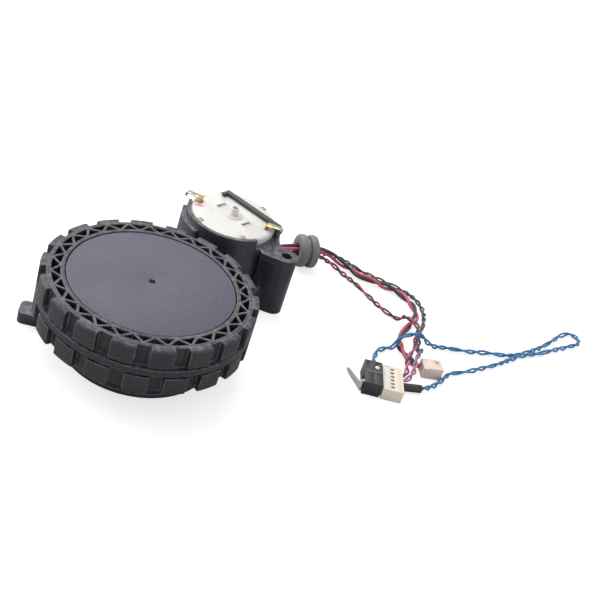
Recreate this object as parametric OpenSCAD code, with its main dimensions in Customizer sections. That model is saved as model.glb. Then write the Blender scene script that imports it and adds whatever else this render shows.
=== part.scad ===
/* [Tyre] */
// Depth of the rubber from the rim to the carcass
band_t = 5.7; // [4:0.1:9]
// Depth of the tread lugs over the carcass
lug_h = 2.1; // [1:0.1:4]
// Width of the tyre along the axle
tyre_w = 17.7; // [12:0.1:26]
// Lugs in each of the two rows
lug_count = 18; // [10:1:30]
// Angle one lug covers
lug_angle = 12.4; // [6:0.2:16]
// Turn of the upper row of lugs
lug_turn = 4; // [0:1:20]
// Width of the middle rib
rib_w = 2.4; // [1:0.1:5]
// Width of one lug along the axle
lug_w = 6.8; // [4:0.1:10]
// Triangle pairs in the side lattice
lattice_count = 27; // [12:1:40]
// Thickness of the lattice struts
strut_t = 0.8; // [0.5:0.1:2]

/* [Hub] */
// Radius of the rim under the tyre
rim_r = 28.2; // [22:0.1:34]
// Wall of the rim
rim_t = 1.8; // [1:0.1:4]
// Groove round the cover disc
groove_w = 0.4; // [0.2:0.1:1]
// Thickness of the cover disc
cover_t = 1.6; // [1:0.1:3]
// How far the cover disc lies below the tyre's side
cover_sink = 0.2; // [0:0.1:1]
// Radius of the hole in the cover disc
cover_hole_r = 1.15; // [0.5:0.05:3]
// Radius of the wheel shaft
axle_r = 3; // [2:0.1:5]
// Stiffening ribs under the hub
hub_ribs = 9; // [4:1:16]

/* [Housing] */
// Height of the tyre's side over the base
face_z = 27.8; // [22:0.1:40]
// Gap between the tread and the foot of the motor cradle
cradle_gap = 4.86; // [2:0.02:8]
// Direction of the motor from the wheel axis
drive_a = 67.79; // [60:0.01:80]
// Radius of the gearbox round the wheel axis
box_r = 26; // [20:0.5:32]
// Wall of the gearbox
wall = 1.6; // [1:0.1:3]
// Height of the gearbox roof
roof_z = 9.4; // [8:0.1:9.8]
// Thickness of the gearbox roof
roof_t = 1.4; // [1:0.1:2]
// Wall of the motor cradle at the top
cradle_wall = 1.3; // [1:0.1:3]
// How far the cradle widens down to the base
cradle_draft = 1.9; // [0:0.1:4]
// Height of the cradle's raised side
cradle_z = 27.2; // [22:0.1:30]
// Radius of the thick outer side of the cradle at its shoulder
pad_r = 18.8; // [17.6:0.1:19.2]
// Height of that shoulder
pad_z = 24.4; // [12:0.1:26]
// Where the thick side starts, and how far it goes round
pad_a = 172; // [170:1:200]
pad_span = 56; // [20:1:90]
// Height of the flange and the post
flange_z = 23.6; // [18:0.1:28]
// Thickness of the flange
flange_t = 2.4; // [1.5:0.1:4]
// Distance of the screw post to the right of the motor
post_dx = 22; // [20:0.1:26]
// Distance of the screw post in front of the motor
post_dy = 13.3; // [10:0.1:16]
// Outer radius of the screw post
post_r = 4.1; // [3.5:0.1:6]
// Radius of the hole through the post
post_hole_r = 2.05; // [1.5:0.05:3]
// How far the fixing ear reaches past the tread
ear_out = 4.3; // [2:0.1:8]
// Width of the fixing ear
ear_w = 7.4; // [4:0.1:12]
// Height of the fixing ear
ear_h = 4.3; // [2:0.1:7]

/* [Motor] */
// Radius of the motor can
motor_r = 16; // [14:0.1:18]
// Height of the cap's flat face over the base
cap_z = 27; // [24:0.1:30]
// Thickness of the cap
cap_t = 2.6; // [1:0.1:4]
// Wall of the motor can
can_t = 0.8; // [0.5:0.05:1.2]
// Thickness of the ring magnet
magnet_t = 3.7; // [2:0.1:5]
// Gap between the magnet and the rotor
air_gap = 0.5; // [0.2:0.05:1]
// Radius of the motor shaft
shaft_r = 1; // [0.8:0.05:2]
// Radius of the cap's bearing boss
cap_boss_r = 1.5; // [1.2:0.1:3]
// Height of that boss above the cap
cap_boss_h = 3.1; // [0.5:0.1:4]
// Length of the slots over the brushes
brush_slot_l = 4.4; // [2:0.1:6]
// Distance of those slots from the motor axis
brush_slot_r = 6; // [4:0.1:9]
// Distance of the strap from the motor axis
strap_off = 8.8; // [6:0.1:12]
// Width of the strap
strap_w = 2.2; // [1:0.1:4]
// Thickness of the strap
strap_t = 1.5; // [1:0.1:3]
// Thickness of the strap's leg and hook
strap_leg = 1.4; // [0.8:0.1:2.5]
// How far the hook at the strap's upper end reaches sideways
strap_hook = 1.8; // [1:0.1:3]

/* [Gears] */
// Length of the row of gears over the straight line to the motor
train_slack = 1.0822; // [1.04:0.001:1.12]
// Teeth of the motor pinion
t0 = 14; // [10:1:20]
// Teeth of the first wheel
t1 = 40; // [30:1:50]
// Teeth of the first pinion
p1 = 14; // [10:1:20]
// Teeth of the second wheel
t2 = 48; // [40:1:60]
// Teeth of the second pinion
p2 = 16; // [12:1:20]
// Teeth of the third wheel
t3 = 56; // [44:1:64]
// Teeth of the third pinion
p3 = 16; // [12:1:20]
// Sideways turn of the third gear from the line of centres
bend = 17; // [10:1:25]
// Radius of the gear pins
pin_r = 1; // [0.8:0.05:1.5]
// Running clearance in the bores
play = 0.04; // [0.02:0.01:0.1]

/* [Leads] */
// Radius of the twisted power lead
power_r = 1.5; // [1:0.1:2.5]
// Radius of the thin twisted leads
lead_r = 1; // [0.6:0.1:1.6]
// Outer radius of the cable grommet
grommet_r = 6.6; // [5:0.1:9]
// Length of the cable grommet
grommet_l = 7.8; // [6:0.1:14]
// Length of each of its rims
grommet_rim = 3.3; // [1.5:0.1:3.4]
// Turn of the cable grommet
grommet_turn = 16; // [0:1:40]

/* [Switch] */
// Length of the snap switch
switch_l = 12.8; // [10:0.1:20]
// Height of the snap switch
switch_h = 6.5; // [5:0.1:11]
// Thickness of the snap switch
switch_t = 5.8; // [4:0.1:8]
// Length of the switch lever
lever_l = 10.4; // [8:0.1:20]
// Angle of the switch lever
lever_a = 28; // [5:1:40]

/* [Plugs] */
// Distance between contacts
pitch = 2; // [1.5:0.1:3]
// Contacts of the long plug
ways = 6; // [3:1:10]
// Length of the plug housings along the leads
plug_l = 7.6; // [5:0.1:10]
// Thickness of the plug housings
plug_t = 4.8; // [3:0.1:7]

/* [Hidden] */
$fn = 64;
cradle_top_r = motor_r + cradle_wall;
cradle_foot_r = cradle_top_r + cradle_draft;
carcass_r = rim_r + band_t;
tyre_r = carcass_r + lug_h;
ear_reach = tyre_r + ear_out;
motor_d = tyre_r + cradle_gap + cradle_foot_r;
motor_x = motor_d * cos(drive_a);
motor_y = motor_d * sin(drive_a);
post_x = motor_x + post_dx;
post_y = motor_y - post_dy;
// The shaft's gear matches the third wheel, which passes beside the shaft
t4 = t3;
gear_m = 2 * train_slack * motor_d / (t0 + t1 + p1 + t2 + p2 + t3 + p3 + t4);
tyre_z = face_z - tyre_w - 0.05;
tyre_top = face_z - 0.05;
tyre_mid = tyre_z + tyre_w / 2;
cover_r = rim_r - groove_w;
cover_z = face_z - cover_sink - cover_t;
lattice_in = rim_r + 1.3;
lattice_out = carcass_r - 1.5;
period = 360 / lattice_count;
layer_a = wall + 0.4;
layer_b = layer_a + 3.1;
gear_h = 2.6;
d01 = gear_m * (t0 + t1) / 2;
d12 = gear_m * (p1 + t2) / 2;
d23 = gear_m * (p2 + t3) / 2;
d34 = gear_m * (p3 + t4) / 2;
motor_p = [motor_x, motor_y];
g3 = d34 * [cos(drive_a + bend), sin(drive_a + bend)];
g2 = g3 + d23 * [cos(drive_a - bend), sin(drive_a - bend)];
gap_v = motor_p - g2;
gap_d = norm(gap_v);
gap_a = atan2(gap_v[1], gap_v[0]);
along = (gap_d * gap_d + d12 * d12 - d01 * d01) / (2 * gap_d);
side_a = acos(along / d12);
g1 = g2 + d12 * [cos(gap_a + side_a), sin(gap_a + side_a)];
function dir(a, b) = atan2(b[1] - a[1], b[0] - a[0]);
a43 = dir([0, 0], g3);
a32 = dir(g3, g2);
a21 = dir(g2, g1);
a10 = dir(g1, motor_p);
turn4 = a43;
turn_p3 = a43 + 180 + 180 / p3;
turn_t3 = a32;
turn_p2 = a32 + 180 + 180 / p2;
turn_t2 = a21;
turn_p1 = a21 + 180 + 180 / p1;
turn_t1 = a10;
turn_p0 = a10 + 180 + 180 / t0;
bearing_r = 6.5;
bearing_h = 4;
boss_top = roof_z + 4.8;
can_z = roof_z;
can_h = cap_z - cap_t - can_z;
screw_ring = motor_r / 2;
board_y = cradle_foot_r - wall - 8.6;
magnet_r = motor_r - can_t;
rotor_r = magnet_r - magnet_t - air_gap;
strap_a = 53;
strap_low = sqrt(pow(cradle_top_r + 0.6, 2) - strap_off * strap_off);
strap_high = strap_low - 4;
post_d = norm([post_x - motor_x, post_y - motor_y]);
grommet_p = [55.8, 77.5];
exit_p = motor_p + (cradle_foot_r - 0.8) * [cos(45), sin(45)];
exit_z = 5.2;
switch_p = [82.9, 10.6];
pivot_r = 0.4;
lever_hub_r = 0.8;
pivot_p = [switch_p[0] - switch_h / 2 - lever_hub_r - 0.05, switch_p[1] - switch_l / 2 + 1.2];
plug6_p = [89.8, 10.8];
plug2_p = [106.2, 24.8];

function ring(p, d, r, n) = let (
    b = atan2(d[1], d[0]),
    s = [-sin(b), cos(b), 0],
    u = cross(d / norm(d), s)
) [for (i = [0:n - 1]) p + r * (cos(360 * i / n) * s + sin(360 * i / n) * u)];
function heading(pts, i) = pts[min(i + 1, len(pts) - 1)] - pts[max(i - 1, 0)];

module tube(pts, r) {
    n = 8;
    m = len(pts);
    verts = [for (i = [0:m - 1]) each ring(pts[i], heading(pts, i), r, n)];
    walls = [for (i = [0:m - 2], k = [0:n - 1])
        [i * n + k, i * n + (k + 1) % n, (i + 1) * n + (k + 1) % n, (i + 1) * n + k]];
    ends = [[for (k = [n - 1:-1:0]) k], [for (k = [0:n - 1]) (m - 1) * n + k]];
    polyhedron(verts, concat(walls, ends));
}

// Straight-flanked gear outline with a little backlash
module gear_2d(teeth, turn) {
    r = gear_m * teeth / 2;
    s = 360 / teeth;
    tip = r + 0.85 * gear_m;
    root = r - 1.2 * gear_m;
    flank = [[root, -0.33], [r, -0.22], [tip, -0.11], [tip, 0.11], [r, 0.22], [root, 0.33]];
    polygon([for (k = [0:teeth - 1], q = flank)
        q[0] * [cos(turn + s * (k + q[1])), sin(turn + s * (k + q[1]))]]);
}

module gear(teeth, turn, z, h, bore) {
    translate([0, 0, z]) difference() {
        linear_extrude(h) gear_2d(teeth, turn);
        translate([0, 0, -1]) cylinder(h = h + 2, r = bore);
    }
}

module compound(p, wheel_t, wheel_turn, wheel_z, small_t, small_turn, small_z) {
    translate([p[0], p[1], 0]) difference() {
        union() {
            translate([0, 0, wheel_z]) linear_extrude(gear_h) gear_2d(wheel_t, wheel_turn);
            translate([0, 0, small_z]) linear_extrude(gear_h) gear_2d(small_t, small_turn);
            translate([0, 0, layer_a]) cylinder(h = layer_b + gear_h - layer_a, r = pin_r + 1);
        }
        cylinder(h = roof_z, r = pin_r + play);
        for (a = [0:60:300])
            rotate(a + 20) translate([gear_m * wheel_t * 0.3, 0, wheel_z - 1])
                cylinder(h = gear_h + 2, r = gear_m * wheel_t * 0.075, $fn = 24);
    }
}

module outline(r1, r2, h) {
    cylinder(h = h, r = r1, $fn = 96);
    translate([motor_x, motor_y, 0]) cylinder(h = h, r = r2, $fn = 96);
    lean = asin((r1 - r2) / norm(motor_p));
    inset = 0.03;
    linear_extrude(h) polygon([for (q = [[-90 + lean, 1], [90 - lean, 1], [90 - lean, 0], [-90 + lean, 0]])
        (q[1] == 1 ? [0, 0] : motor_p) + ((q[1] == 1 ? r1 : r2) - inset) * [cos(drive_a + q[0]), sin(drive_a + q[0])]]);
}

module sector(r, h, a1, a2) {
    steps = 12;
    linear_extrude(h) polygon(concat([[0, 0]],
        [for (i = [0:steps]) r * [cos(a1 + (a2 - a1) * i / steps), sin(a1 + (a2 - a1) * i / steps)]]));
}

module tyre() {
    color([0.13, 0.13, 0.14]) difference() {
        union() {
            rotate_extrude($fn = 180) polygon([
                [rim_r, tyre_z], [carcass_r - 0.6, tyre_z], [carcass_r, tyre_z + 0.6],
                [carcass_r, tyre_mid - rib_w / 2], [tyre_r, tyre_mid - rib_w / 2 + 0.2],
                [tyre_r, tyre_mid + rib_w / 2 - 0.2], [carcass_r, tyre_mid + rib_w / 2],
                [carcass_r, tyre_top - 0.4], [carcass_r - 0.4, tyre_top], [rim_r, tyre_top]]);
            for (i = [0:lug_count - 1]) {
                rotate(lug_turn + i * 360 / lug_count - lug_angle / 2)
                    rotate_extrude(angle = lug_angle, $fn = 180) polygon([
                        [carcass_r - 0.5, tyre_top - lug_w], [tyre_r, tyre_top - lug_w],
                        [tyre_r, tyre_top - 0.6], [tyre_r - 0.6, tyre_top - 0.05],
                        [carcass_r - 0.5, tyre_top - 0.05]]);
                rotate(lug_turn + (i + 0.5) * 360 / lug_count - lug_angle / 2)
                    rotate_extrude(angle = lug_angle, $fn = 180) polygon([
                        [carcass_r - 0.5, tyre_z + 0.05], [tyre_r - 0.6, tyre_z + 0.05],
                        [tyre_r, tyre_z + 0.6], [tyre_r, tyre_z + lug_w], [carcass_r - 0.5, tyre_z + lug_w]]);
            }
        }
        for (i = [0:lattice_count - 1]) rotate(i * period) {
            translate([0, 0, tyre_z - 1]) linear_extrude(tyre_w + 2) polygon([
                lattice_in * [1, 0] + [0.9, -0.2], lattice_out * [cos(period * 0.38), -sin(period * 0.38)],
                lattice_out * [cos(period * 0.38), sin(period * 0.38)], lattice_in * [1, 0] + [0.9, 0.2]]);
            rotate(period / 2) translate([0, 0, tyre_z - 1]) linear_extrude(tyre_w + 2) polygon([
                lattice_in * [cos(period * 0.36), -sin(period * 0.36)], [lattice_out - 0.9, -0.2],
                [lattice_out - 0.9, 0.2], lattice_in * [cos(period * 0.36), sin(period * 0.36)]]);
        }
    }
}

module wheel_hub() {
    top = cover_z;
    web_z = top - 3.4;
    color([0.16, 0.16, 0.17]) difference() {
        union() {
            difference() {
                translate([0, 0, tyre_z + 0.3]) cylinder(h = top - tyre_z - 0.3, r = rim_r, $fn = 128);
                translate([0, 0, tyre_z - 1]) cylinder(h = web_z - tyre_z + 1, r = rim_r - rim_t, $fn = 128);
                translate([0, 0, web_z + 1.6]) cylinder(h = 10, r = rim_r - rim_t, $fn = 128);
            }
            translate([0, 0, boss_top + 0.6]) cylinder(h = top - boss_top - 0.6, r = axle_r + 3);
            for (i = [0:hub_ribs - 1]) rotate(i * 360 / hub_ribs)
                translate([axle_r + 2, -0.6, boss_top + 2])
                    cube([rim_r - rim_t - axle_r - 1.5, 1.2, web_z - boss_top - 1.5]);
        }
        translate([0, 0, boss_top - 1]) cylinder(h = 20, r = axle_r);
        translate([0, 0, cover_z - 1.2]) cylinder(h = 5, r = 4.5);
        for (i = [0:2]) rotate(i * 120 + 20) translate([rim_r * 0.6, 0, web_z - 1])
            cylinder(h = 5, r = 2.4, $fn = 32);
    }
}

module hub_cover() {
    color([0.22, 0.22, 0.25]) difference() {
        rotate_extrude($fn = 128) polygon([
            [0, cover_z], [cover_r, cover_z], [cover_r, cover_z + cover_t - 0.25],
            [cover_r - 0.25, cover_z + cover_t], [0, cover_z + cover_t]]);
        translate([0, 0, cover_z - 1]) cylinder(h = 4, r = cover_hole_r, $fn = 32);
    }
}

module wheel_shaft() {
    color([0.72, 0.73, 0.75]) difference() {
        union() {
            translate([0, 0, wall + 0.1]) cylinder(h = layer_b - wall - 0.1, r = 2.2);
            translate([0, 0, layer_b]) cylinder(h = cover_z - 1.2 - layer_b, r = axle_r);
        }
        translate([0, 0, cover_z - 9]) cylinder(h = 10, r = 1.2, $fn = 32);
    }
}

module hub_screw() {
    color([0.75, 0.75, 0.77]) difference() {
        union() {
            translate([0, 0, cover_z - 8.5]) cylinder(h = 7.4, r = 1.2, $fn = 32);
            translate([0, 0, cover_z - 1.2]) cylinder(h = 1.2, r = 4.4);
        }
        translate([0, 0, cover_z - 0.7]) {
            translate([-1.3, -0.3, 0]) cube([2.6, 0.6, 2]);
            translate([-0.3, -1.3, 0]) cube([0.6, 2.6, 2]);
        }
    }
}

module shaft_gear() {
    color([0.9, 0.9, 0.86]) gear(t4, turn4, layer_b, gear_h, axle_r);
}

module ball_bearing_outer() {
    color([0.65, 0.66, 0.68]) translate([0, 0, boss_top - bearing_h]) difference() {
        cylinder(h = bearing_h, r = bearing_r);
        translate([0, 0, -1]) cylinder(h = bearing_h + 2, r = bearing_r - 1);
    }
}

module ball_bearing_inner() {
    color([0.7, 0.71, 0.73]) translate([0, 0, boss_top - bearing_h]) difference() {
        cylinder(h = bearing_h, r = axle_r + 1.1);
        translate([0, 0, -1]) cylinder(h = bearing_h + 2, r = axle_r);
    }
}

module bearing_shield() {
    color([0.5, 0.3, 0.15]) translate([0, 0, boss_top - bearing_h + 0.3]) difference() {
        cylinder(h = bearing_h - 0.6, r = bearing_r - 1);
        translate([0, 0, -1]) cylinder(h = bearing_h + 2, r = axle_r + 1.16);
    }
}

module lower_bush() {
    color([0.75, 0.6, 0.3]) translate([0, 0, wall]) difference() {
        cylinder(h = 2.8, r = 3.2);
        translate([0, 0, -1]) cylinder(h = 5, r = 2.2 + play);
    }
}

module gearbox_housing() {
    color([0.15, 0.16, 0.17]) difference() {
        union() {
            translate([0, 0, wall]) outline(box_r, cradle_foot_r, roof_z - wall);
            translate([motor_x, motor_y, wall]) cylinder(h = cradle_z - wall,
                r1 = cradle_foot_r, r2 = cradle_top_r, $fn = 128);
            translate([0, 0, roof_z - 1]) cylinder(h = boss_top - roof_z + 1, r = bearing_r + 1.6);
            translate([motor_x, motor_y, wall]) rotate(pad_a) rotate_extrude(angle = pad_span, $fn = 128)
                polygon([
                [motor_r + 0.6, 0], [cradle_foot_r, 0],
                [pad_r, pad_z - wall], [motor_r + 0.6, pad_z - wall]]);
            flange();
            post();
            ear();
        }
        translate([0, 0, wall - 1]) outline(box_r - wall, cradle_foot_r - wall, roof_z - roof_t - wall + 1);
        translate([motor_x, motor_y, roof_z]) cylinder(h = 30, r = motor_r + 0.1, $fn = 128);
        translate([motor_x, motor_y, wall]) cylinder(h = 20, r = 4.1);
        translate([motor_x, motor_y, flange_z]) rotate(-54) sector(40, 10, 0, 224);
        translate([0, 0, wall]) cylinder(h = 20, r = axle_r + 0.5);
        translate([0, 0, boss_top - bearing_h]) cylinder(h = 10, r = bearing_r);
        translate([post_x, post_y, -1]) cylinder(h = 40, r = post_hole_r);
        translate([0, 0, -1]) outline(box_r + 0.05, cradle_foot_r + 0.05, wall + 1);
        translate([exit_p[0], exit_p[1], exit_z]) rotate([0, 0, 45]) rotate([0, 90, 0])
            translate([0, 0, -5]) cylinder(h = 9, r = 2.9, $fn = 32);
        for (a = [90, 270]) translate([motor_x, motor_y, 0]) rotate(a + 20)
            translate([screw_ring, 0, roof_z - 3]) cylinder(h = 4, r = 1.4, $fn = 32);
        for (q = screw_places()) translate([q[0], q[1], wall - 1]) cylinder(h = 6, r = 0.9, $fn = 32);
    }
    color([0.15, 0.16, 0.17]) for (q = screw_places()) difference() {
        translate([q[0], q[1], wall]) cylinder(h = roof_z - roof_t - wall, r = 2);
        translate([q[0], q[1], wall - 1]) cylinder(h = 6, r = 0.9, $fn = 32);
    }
}

function screw_places() = [
    [(box_r - 2.6) * cos(200), (box_r - 2.6) * sin(200)],
    [(box_r - 2.6) * cos(270), (box_r - 2.6) * sin(270)],
    [(box_r - 2.6) * cos(340), (box_r - 2.6) * sin(340)],
    [motor_x + (cradle_foot_r - 2.6) * cos(5), motor_y + (cradle_foot_r - 2.6) * sin(5)],
    [motor_x + (cradle_foot_r - 2.6) * cos(95), motor_y + (cradle_foot_r - 2.6) * sin(95)]];

function at_m(dx, dy) = motor_p + [dx, dy];

module flange() {
    translate([0, 0, flange_z - flange_t]) linear_extrude(flange_t) polygon([
        motor_p, at_m(11.2, -13.2), at_m(12.9, -15.6), at_m(19.7, -17.2),
        [post_x - 1, post_y - post_r + 0.1], [post_x + post_r - 0.1, post_y + 1],
        [post_x + 1, post_y + post_r - 0.1], at_m(20.1, -8.6), at_m(18.9, -5.6), at_m(18.7, -2.6),
        at_m(18.9, 1.8), at_m(16.7, 3.4)]);
}

module post() {
    translate([post_x, post_y, 0]) cylinder(h = flange_z, r = post_r);
    linear_extrude(flange_z - 0.5) polygon([
        at_m(13.2, -10.2), at_m(12.9, -15.5), at_m(19.7, -17.1),
        [post_x - 1, post_y - post_r + 0.15], [post_x, post_y + 3], at_m(18.3, -10.2)]);
}

module ear() {
    translate([0, 0, 0]) {
        translate([-ear_reach + 2, -ear_w / 2 + 1 + 2, 0]) cylinder(h = ear_h, r = 2, $fn = 32);
        translate([-ear_reach + 2, ear_w / 2 + 1 - 2, 0]) cylinder(h = ear_h, r = 2, $fn = 32);
        translate([-ear_reach, -ear_w / 2 + 3, 0]) cube([8, ear_w - 4, ear_h]);
        translate([-ear_reach + 2, -ear_w / 2 + 1, 0]) cube([ear_reach - box_r + 1, ear_w, ear_h]);
        translate([-box_r - 7, -ear_w / 2 - 0.5, 0]) cube([8.5, ear_w + 3, roof_z - 1.5]);
    }
}

module gearbox_base() {
    color([0.14, 0.15, 0.16]) difference() {
        outline(box_r, cradle_foot_r, wall);
        for (q = screw_places()) translate([q[0], q[1], -1]) {
            cylinder(h = 5, r = 1.1, $fn = 32);
            cylinder(h = 1.8, r = 2, $fn = 32);
        }
    }
}

module base_screws() {
    color([0.6, 0.61, 0.63]) for (q = screw_places()) translate([q[0], q[1], 0]) difference() {
        union() {
            translate([0, 0, 0.1]) cylinder(h = 0.7, r = 1.9, $fn = 32);
            translate([0, 0, 0.8]) cylinder(h = 4, r = 0.9, $fn = 32);
        }
        translate([-1, -0.25, -1]) cube([2, 0.5, 1.5]);
        translate([-0.25, -1, -1]) cube([0.5, 2, 1.5]);
    }
}

module gear_pins() {
    color([0.7, 0.7, 0.72]) for (p = [g1, g2, g3])
        translate([p[0], p[1], wall]) cylinder(h = roof_z - roof_t - wall, r = pin_r, $fn = 32);
}

module gear_first() {
    color([0.93, 0.92, 0.87]) compound(g1, t1, turn_t1, layer_a, p1, turn_p1, layer_b);
}

module gear_second() {
    color([0.9, 0.9, 0.85]) compound(g2, t2, turn_t2, layer_b, p2, turn_p2, layer_a);
}

module gear_third() {
    color([0.93, 0.92, 0.87]) compound(g3, t3, turn_t3, layer_a, p3, turn_p3, layer_b);
}

module motor_pinion() {
    color([0.8, 0.68, 0.35]) translate([motor_x, motor_y, 0]) gear(t0, turn_p0, layer_a, gear_h, shaft_r);
}

module motor_shaft() {
    color([0.75, 0.75, 0.77]) translate([motor_x, motor_y, layer_a])
        cylinder(h = cap_z - 1 - layer_a, r = shaft_r, $fn = 32);
}

module motor_rotor() {
    color([0.7, 0.45, 0.25]) translate([motor_x, motor_y, can_z + 3]) difference() {
        union() {
            cylinder(h = can_h - 7, r = rotor_r);
            translate([0, 0, can_h - 7]) cylinder(h = 2.4, r = rotor_r * 0.32);
        }
        for (a = [0:60:300]) rotate(a) translate([rotor_r - 2.5, -0.8, -1]) cube([4, 1.6, can_h - 5]);
        translate([0, 0, -1]) cylinder(h = can_h, r = shaft_r, $fn = 32);
    }
}

module motor_magnet() {
    color([0.25, 0.25, 0.26]) translate([motor_x, motor_y, can_z + 1.2]) difference() {
        cylinder(h = can_h - 3, r = magnet_r);
        translate([0, 0, -1]) cylinder(h = can_h - 1, r = rotor_r + air_gap);
    }
}

module motor_can() {
    color([0.72, 0.73, 0.74]) translate([motor_x, motor_y, 0]) difference() {
        union() {
            translate([0, 0, can_z]) cylinder(h = can_h, r = motor_r, $fn = 96);
            translate([0, 0, can_z - 1.4]) cylinder(h = 1.5, r = 4);
        }
        translate([0, 0, can_z + can_t]) cylinder(h = can_h + 1, r = motor_r - can_t, $fn = 96);
        translate([0, 0, can_z - 3]) cylinder(h = 5, r = 2.6);
        for (a = [90, 270]) rotate(a + 20) translate([screw_ring, 0, can_z - 1]) cylinder(h = 4, r = 1, $fn = 32);
    }
}

module motor_bush() {
    color([0.75, 0.6, 0.3]) translate([motor_x, motor_y, can_z - 1.4]) difference() {
        cylinder(h = 3.4, r = 2.6);
        translate([0, 0, -1]) cylinder(h = 6, r = shaft_r + play, $fn = 32);
    }
}

module motor_cap() {
    color([0.96, 0.96, 0.94]) translate([motor_x, motor_y, 0]) difference() {
        union() {
            translate([0, 0, cap_z - cap_t]) cylinder(h = cap_t - 0.8, r = motor_r, $fn = 96);
            translate([0, 0, cap_z - 0.8]) cylinder(h = 0.8, r1 = motor_r, r2 = motor_r - 0.8, $fn = 96);
            translate([0, 0, cap_z - 0.1]) cylinder(h = 0.5, r1 = cap_boss_r + 2.1, r2 = cap_boss_r + 1.9);
            translate([0, 0, cap_z]) cylinder(h = cap_boss_h - 0.3, r = cap_boss_r, $fn = 48);
            translate([0, 0, cap_z + cap_boss_h - 0.3]) cylinder(h = 0.3, r1 = cap_boss_r, r2 = cap_boss_r - 0.3, $fn = 48);
        }
        translate([0, 0, cap_z - cap_t - 1]) cylinder(h = 2, r = motor_r - 1.6);
        translate([0, 0, cap_z - cap_t - 1]) cylinder(h = cap_t + 0.6, r = shaft_r + play, $fn = 32);
        for (a = [0, 180]) rotate(a - 41)
            translate([brush_slot_r, -brush_slot_l / 2, cap_z - cap_t - 1]) cube([1.3, brush_slot_l, cap_t + 2]);
        for (a = [0, 180]) rotate(a - 15)
            translate([motor_r - 3.4, -1.4, cap_z - cap_t - 1]) cube([1, 2.8, cap_t + 2]);
        for (a = [-141, -72, 43, 110]) rotate(a)
            translate([motor_r - 1.3, -0.9, cap_z - 0.9]) cube([3, 1.8, 2]);
    }
}

module motor_terminals() {
    color([0.85, 0.75, 0.5]) for (a = [0, 180]) translate([motor_x, motor_y, 0]) rotate(a - 15) {
        translate([motor_r - 3.2, -1.2, cap_z - 1.2]) cube([0.6, 2.4, 3]);
        translate([motor_r - 3.2, -1.2, cap_z + 1.4]) cube([6.6, 2.4, 0.5]);
    }
}

module motor_strap() {
    color([0.12, 0.12, 0.13]) translate([motor_x, motor_y, 0]) rotate(strap_a) translate([strap_off, 0, 0]) {
        translate([-strap_w / 2, -strap_low, cap_z]) cube([strap_w, strap_low + strap_high, strap_t]);
        translate([-strap_w / 2, -strap_low, flange_z])
            cube([strap_w, strap_leg, cap_z + strap_t - flange_z]);
        translate([-strap_w / 2 - strap_hook, strap_high - strap_leg, cap_z])
            cube([strap_hook + 1, strap_leg, strap_t]);
    }
}

module motor_screws() {
    color([0.6, 0.61, 0.63]) for (a = [90, 270]) translate([motor_x, motor_y, 0]) rotate(a + 20)
        translate([screw_ring, 0, 0]) {
        translate([0, 0, roof_z - roof_t - 0.9]) cylinder(h = 0.9, r = 1.9, $fn = 32);
        translate([0, 0, roof_z - roof_t]) cylinder(h = roof_t + 0.8, r = 1, $fn = 32);
    }
}

module sensor_board() {
    color([0.1, 0.35, 0.2]) translate([motor_x - 4, motor_y + board_y, wall]) cube([8.5, 5, 1]);
    color([0.1, 0.1, 0.1]) translate([motor_x - 2, motor_y + board_y + 1, wall + 1]) cube([3, 2.4, 1]);
}

module at_grommet() {
    translate([grommet_p[0], grommet_p[1], grommet_r]) rotate(grommet_turn) rotate([0, 90, 0]) children();
}

module grommet() {
    color([0.5, 0.5, 0.5]) at_grommet() difference() {
        union() {
            for (side = [0, 1]) mirror([0, 0, side]) rotate_extrude($fn = 96) polygon([
                [0, 0], [grommet_r - 1.6, 0], [grommet_r - 1.6, grommet_l / 2 - grommet_rim],
                [grommet_r - 0.5, grommet_l / 2 - grommet_rim], [grommet_r, grommet_l / 2 - grommet_rim + 0.6],
                [grommet_r, grommet_l / 2 - 1], [grommet_r - 0.9, grommet_l / 2], [0, grommet_l / 2]]);
        }
        translate([0, 0, -grommet_l]) cylinder(h = grommet_l * 2, r = 2.9);
    }
}

module snap_switch_base() {
    color([0.1, 0.1, 0.11]) translate([switch_p[0], switch_p[1], 0]) difference() {
        translate([0.05, -switch_l / 2, 0]) cube([switch_h / 2 - 0.05, switch_l, switch_t]);
        for (s = [-1, 1]) translate([1.4, s * 3.2, -1]) cylinder(h = 10, r = 1, $fn = 32);
    }
}

module snap_switch_cover() {
    color([0.1, 0.1, 0.11]) translate([switch_p[0], switch_p[1], 0]) difference() {
        translate([-switch_h / 2, -switch_l / 2, 0]) cube([switch_h / 2, switch_l, switch_t]);
        translate([-switch_h / 2 - 1, -1.2 - 0.05, switch_t / 2 - 0.75]) cube([3.3, 1.6, 1.5]);
    }
}

module switch_button() {
    color([0.75, 0.2, 0.15])
        translate([switch_p[0] - switch_h / 2 - 0.4, switch_p[1] - 1.2, switch_t / 2 - 0.7]) cube([2.2, 1.5, 1.4]);
}

module switch_pivot() {
    color([0.7, 0.7, 0.72]) translate([pivot_p[0], pivot_p[1], 0.6])
        cylinder(h = switch_t - 1.2, r = pivot_r, $fn = 24);
    color([0.7, 0.7, 0.72]) for (z = [0.6, switch_t - 1.1])
        translate([pivot_p[0], pivot_p[1] - pivot_r, z]) cube([lever_hub_r + 0.05, 2 * pivot_r, 0.5]);
}

module switch_lever() {
    color([0.8, 0.8, 0.82]) translate([pivot_p[0], pivot_p[1], 1.3]) difference() {
        union() {
            cylinder(h = switch_t - 2.6, r = lever_hub_r, $fn = 32);
            rotate(90 + lever_a) translate([0, lever_hub_r - 0.35, 0]) cube([lever_l, 0.35, switch_t - 2.6]);
        }
        translate([0, 0, -1]) cylinder(h = switch_t, r = pivot_r + play, $fn = 24);
    }
}

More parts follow.
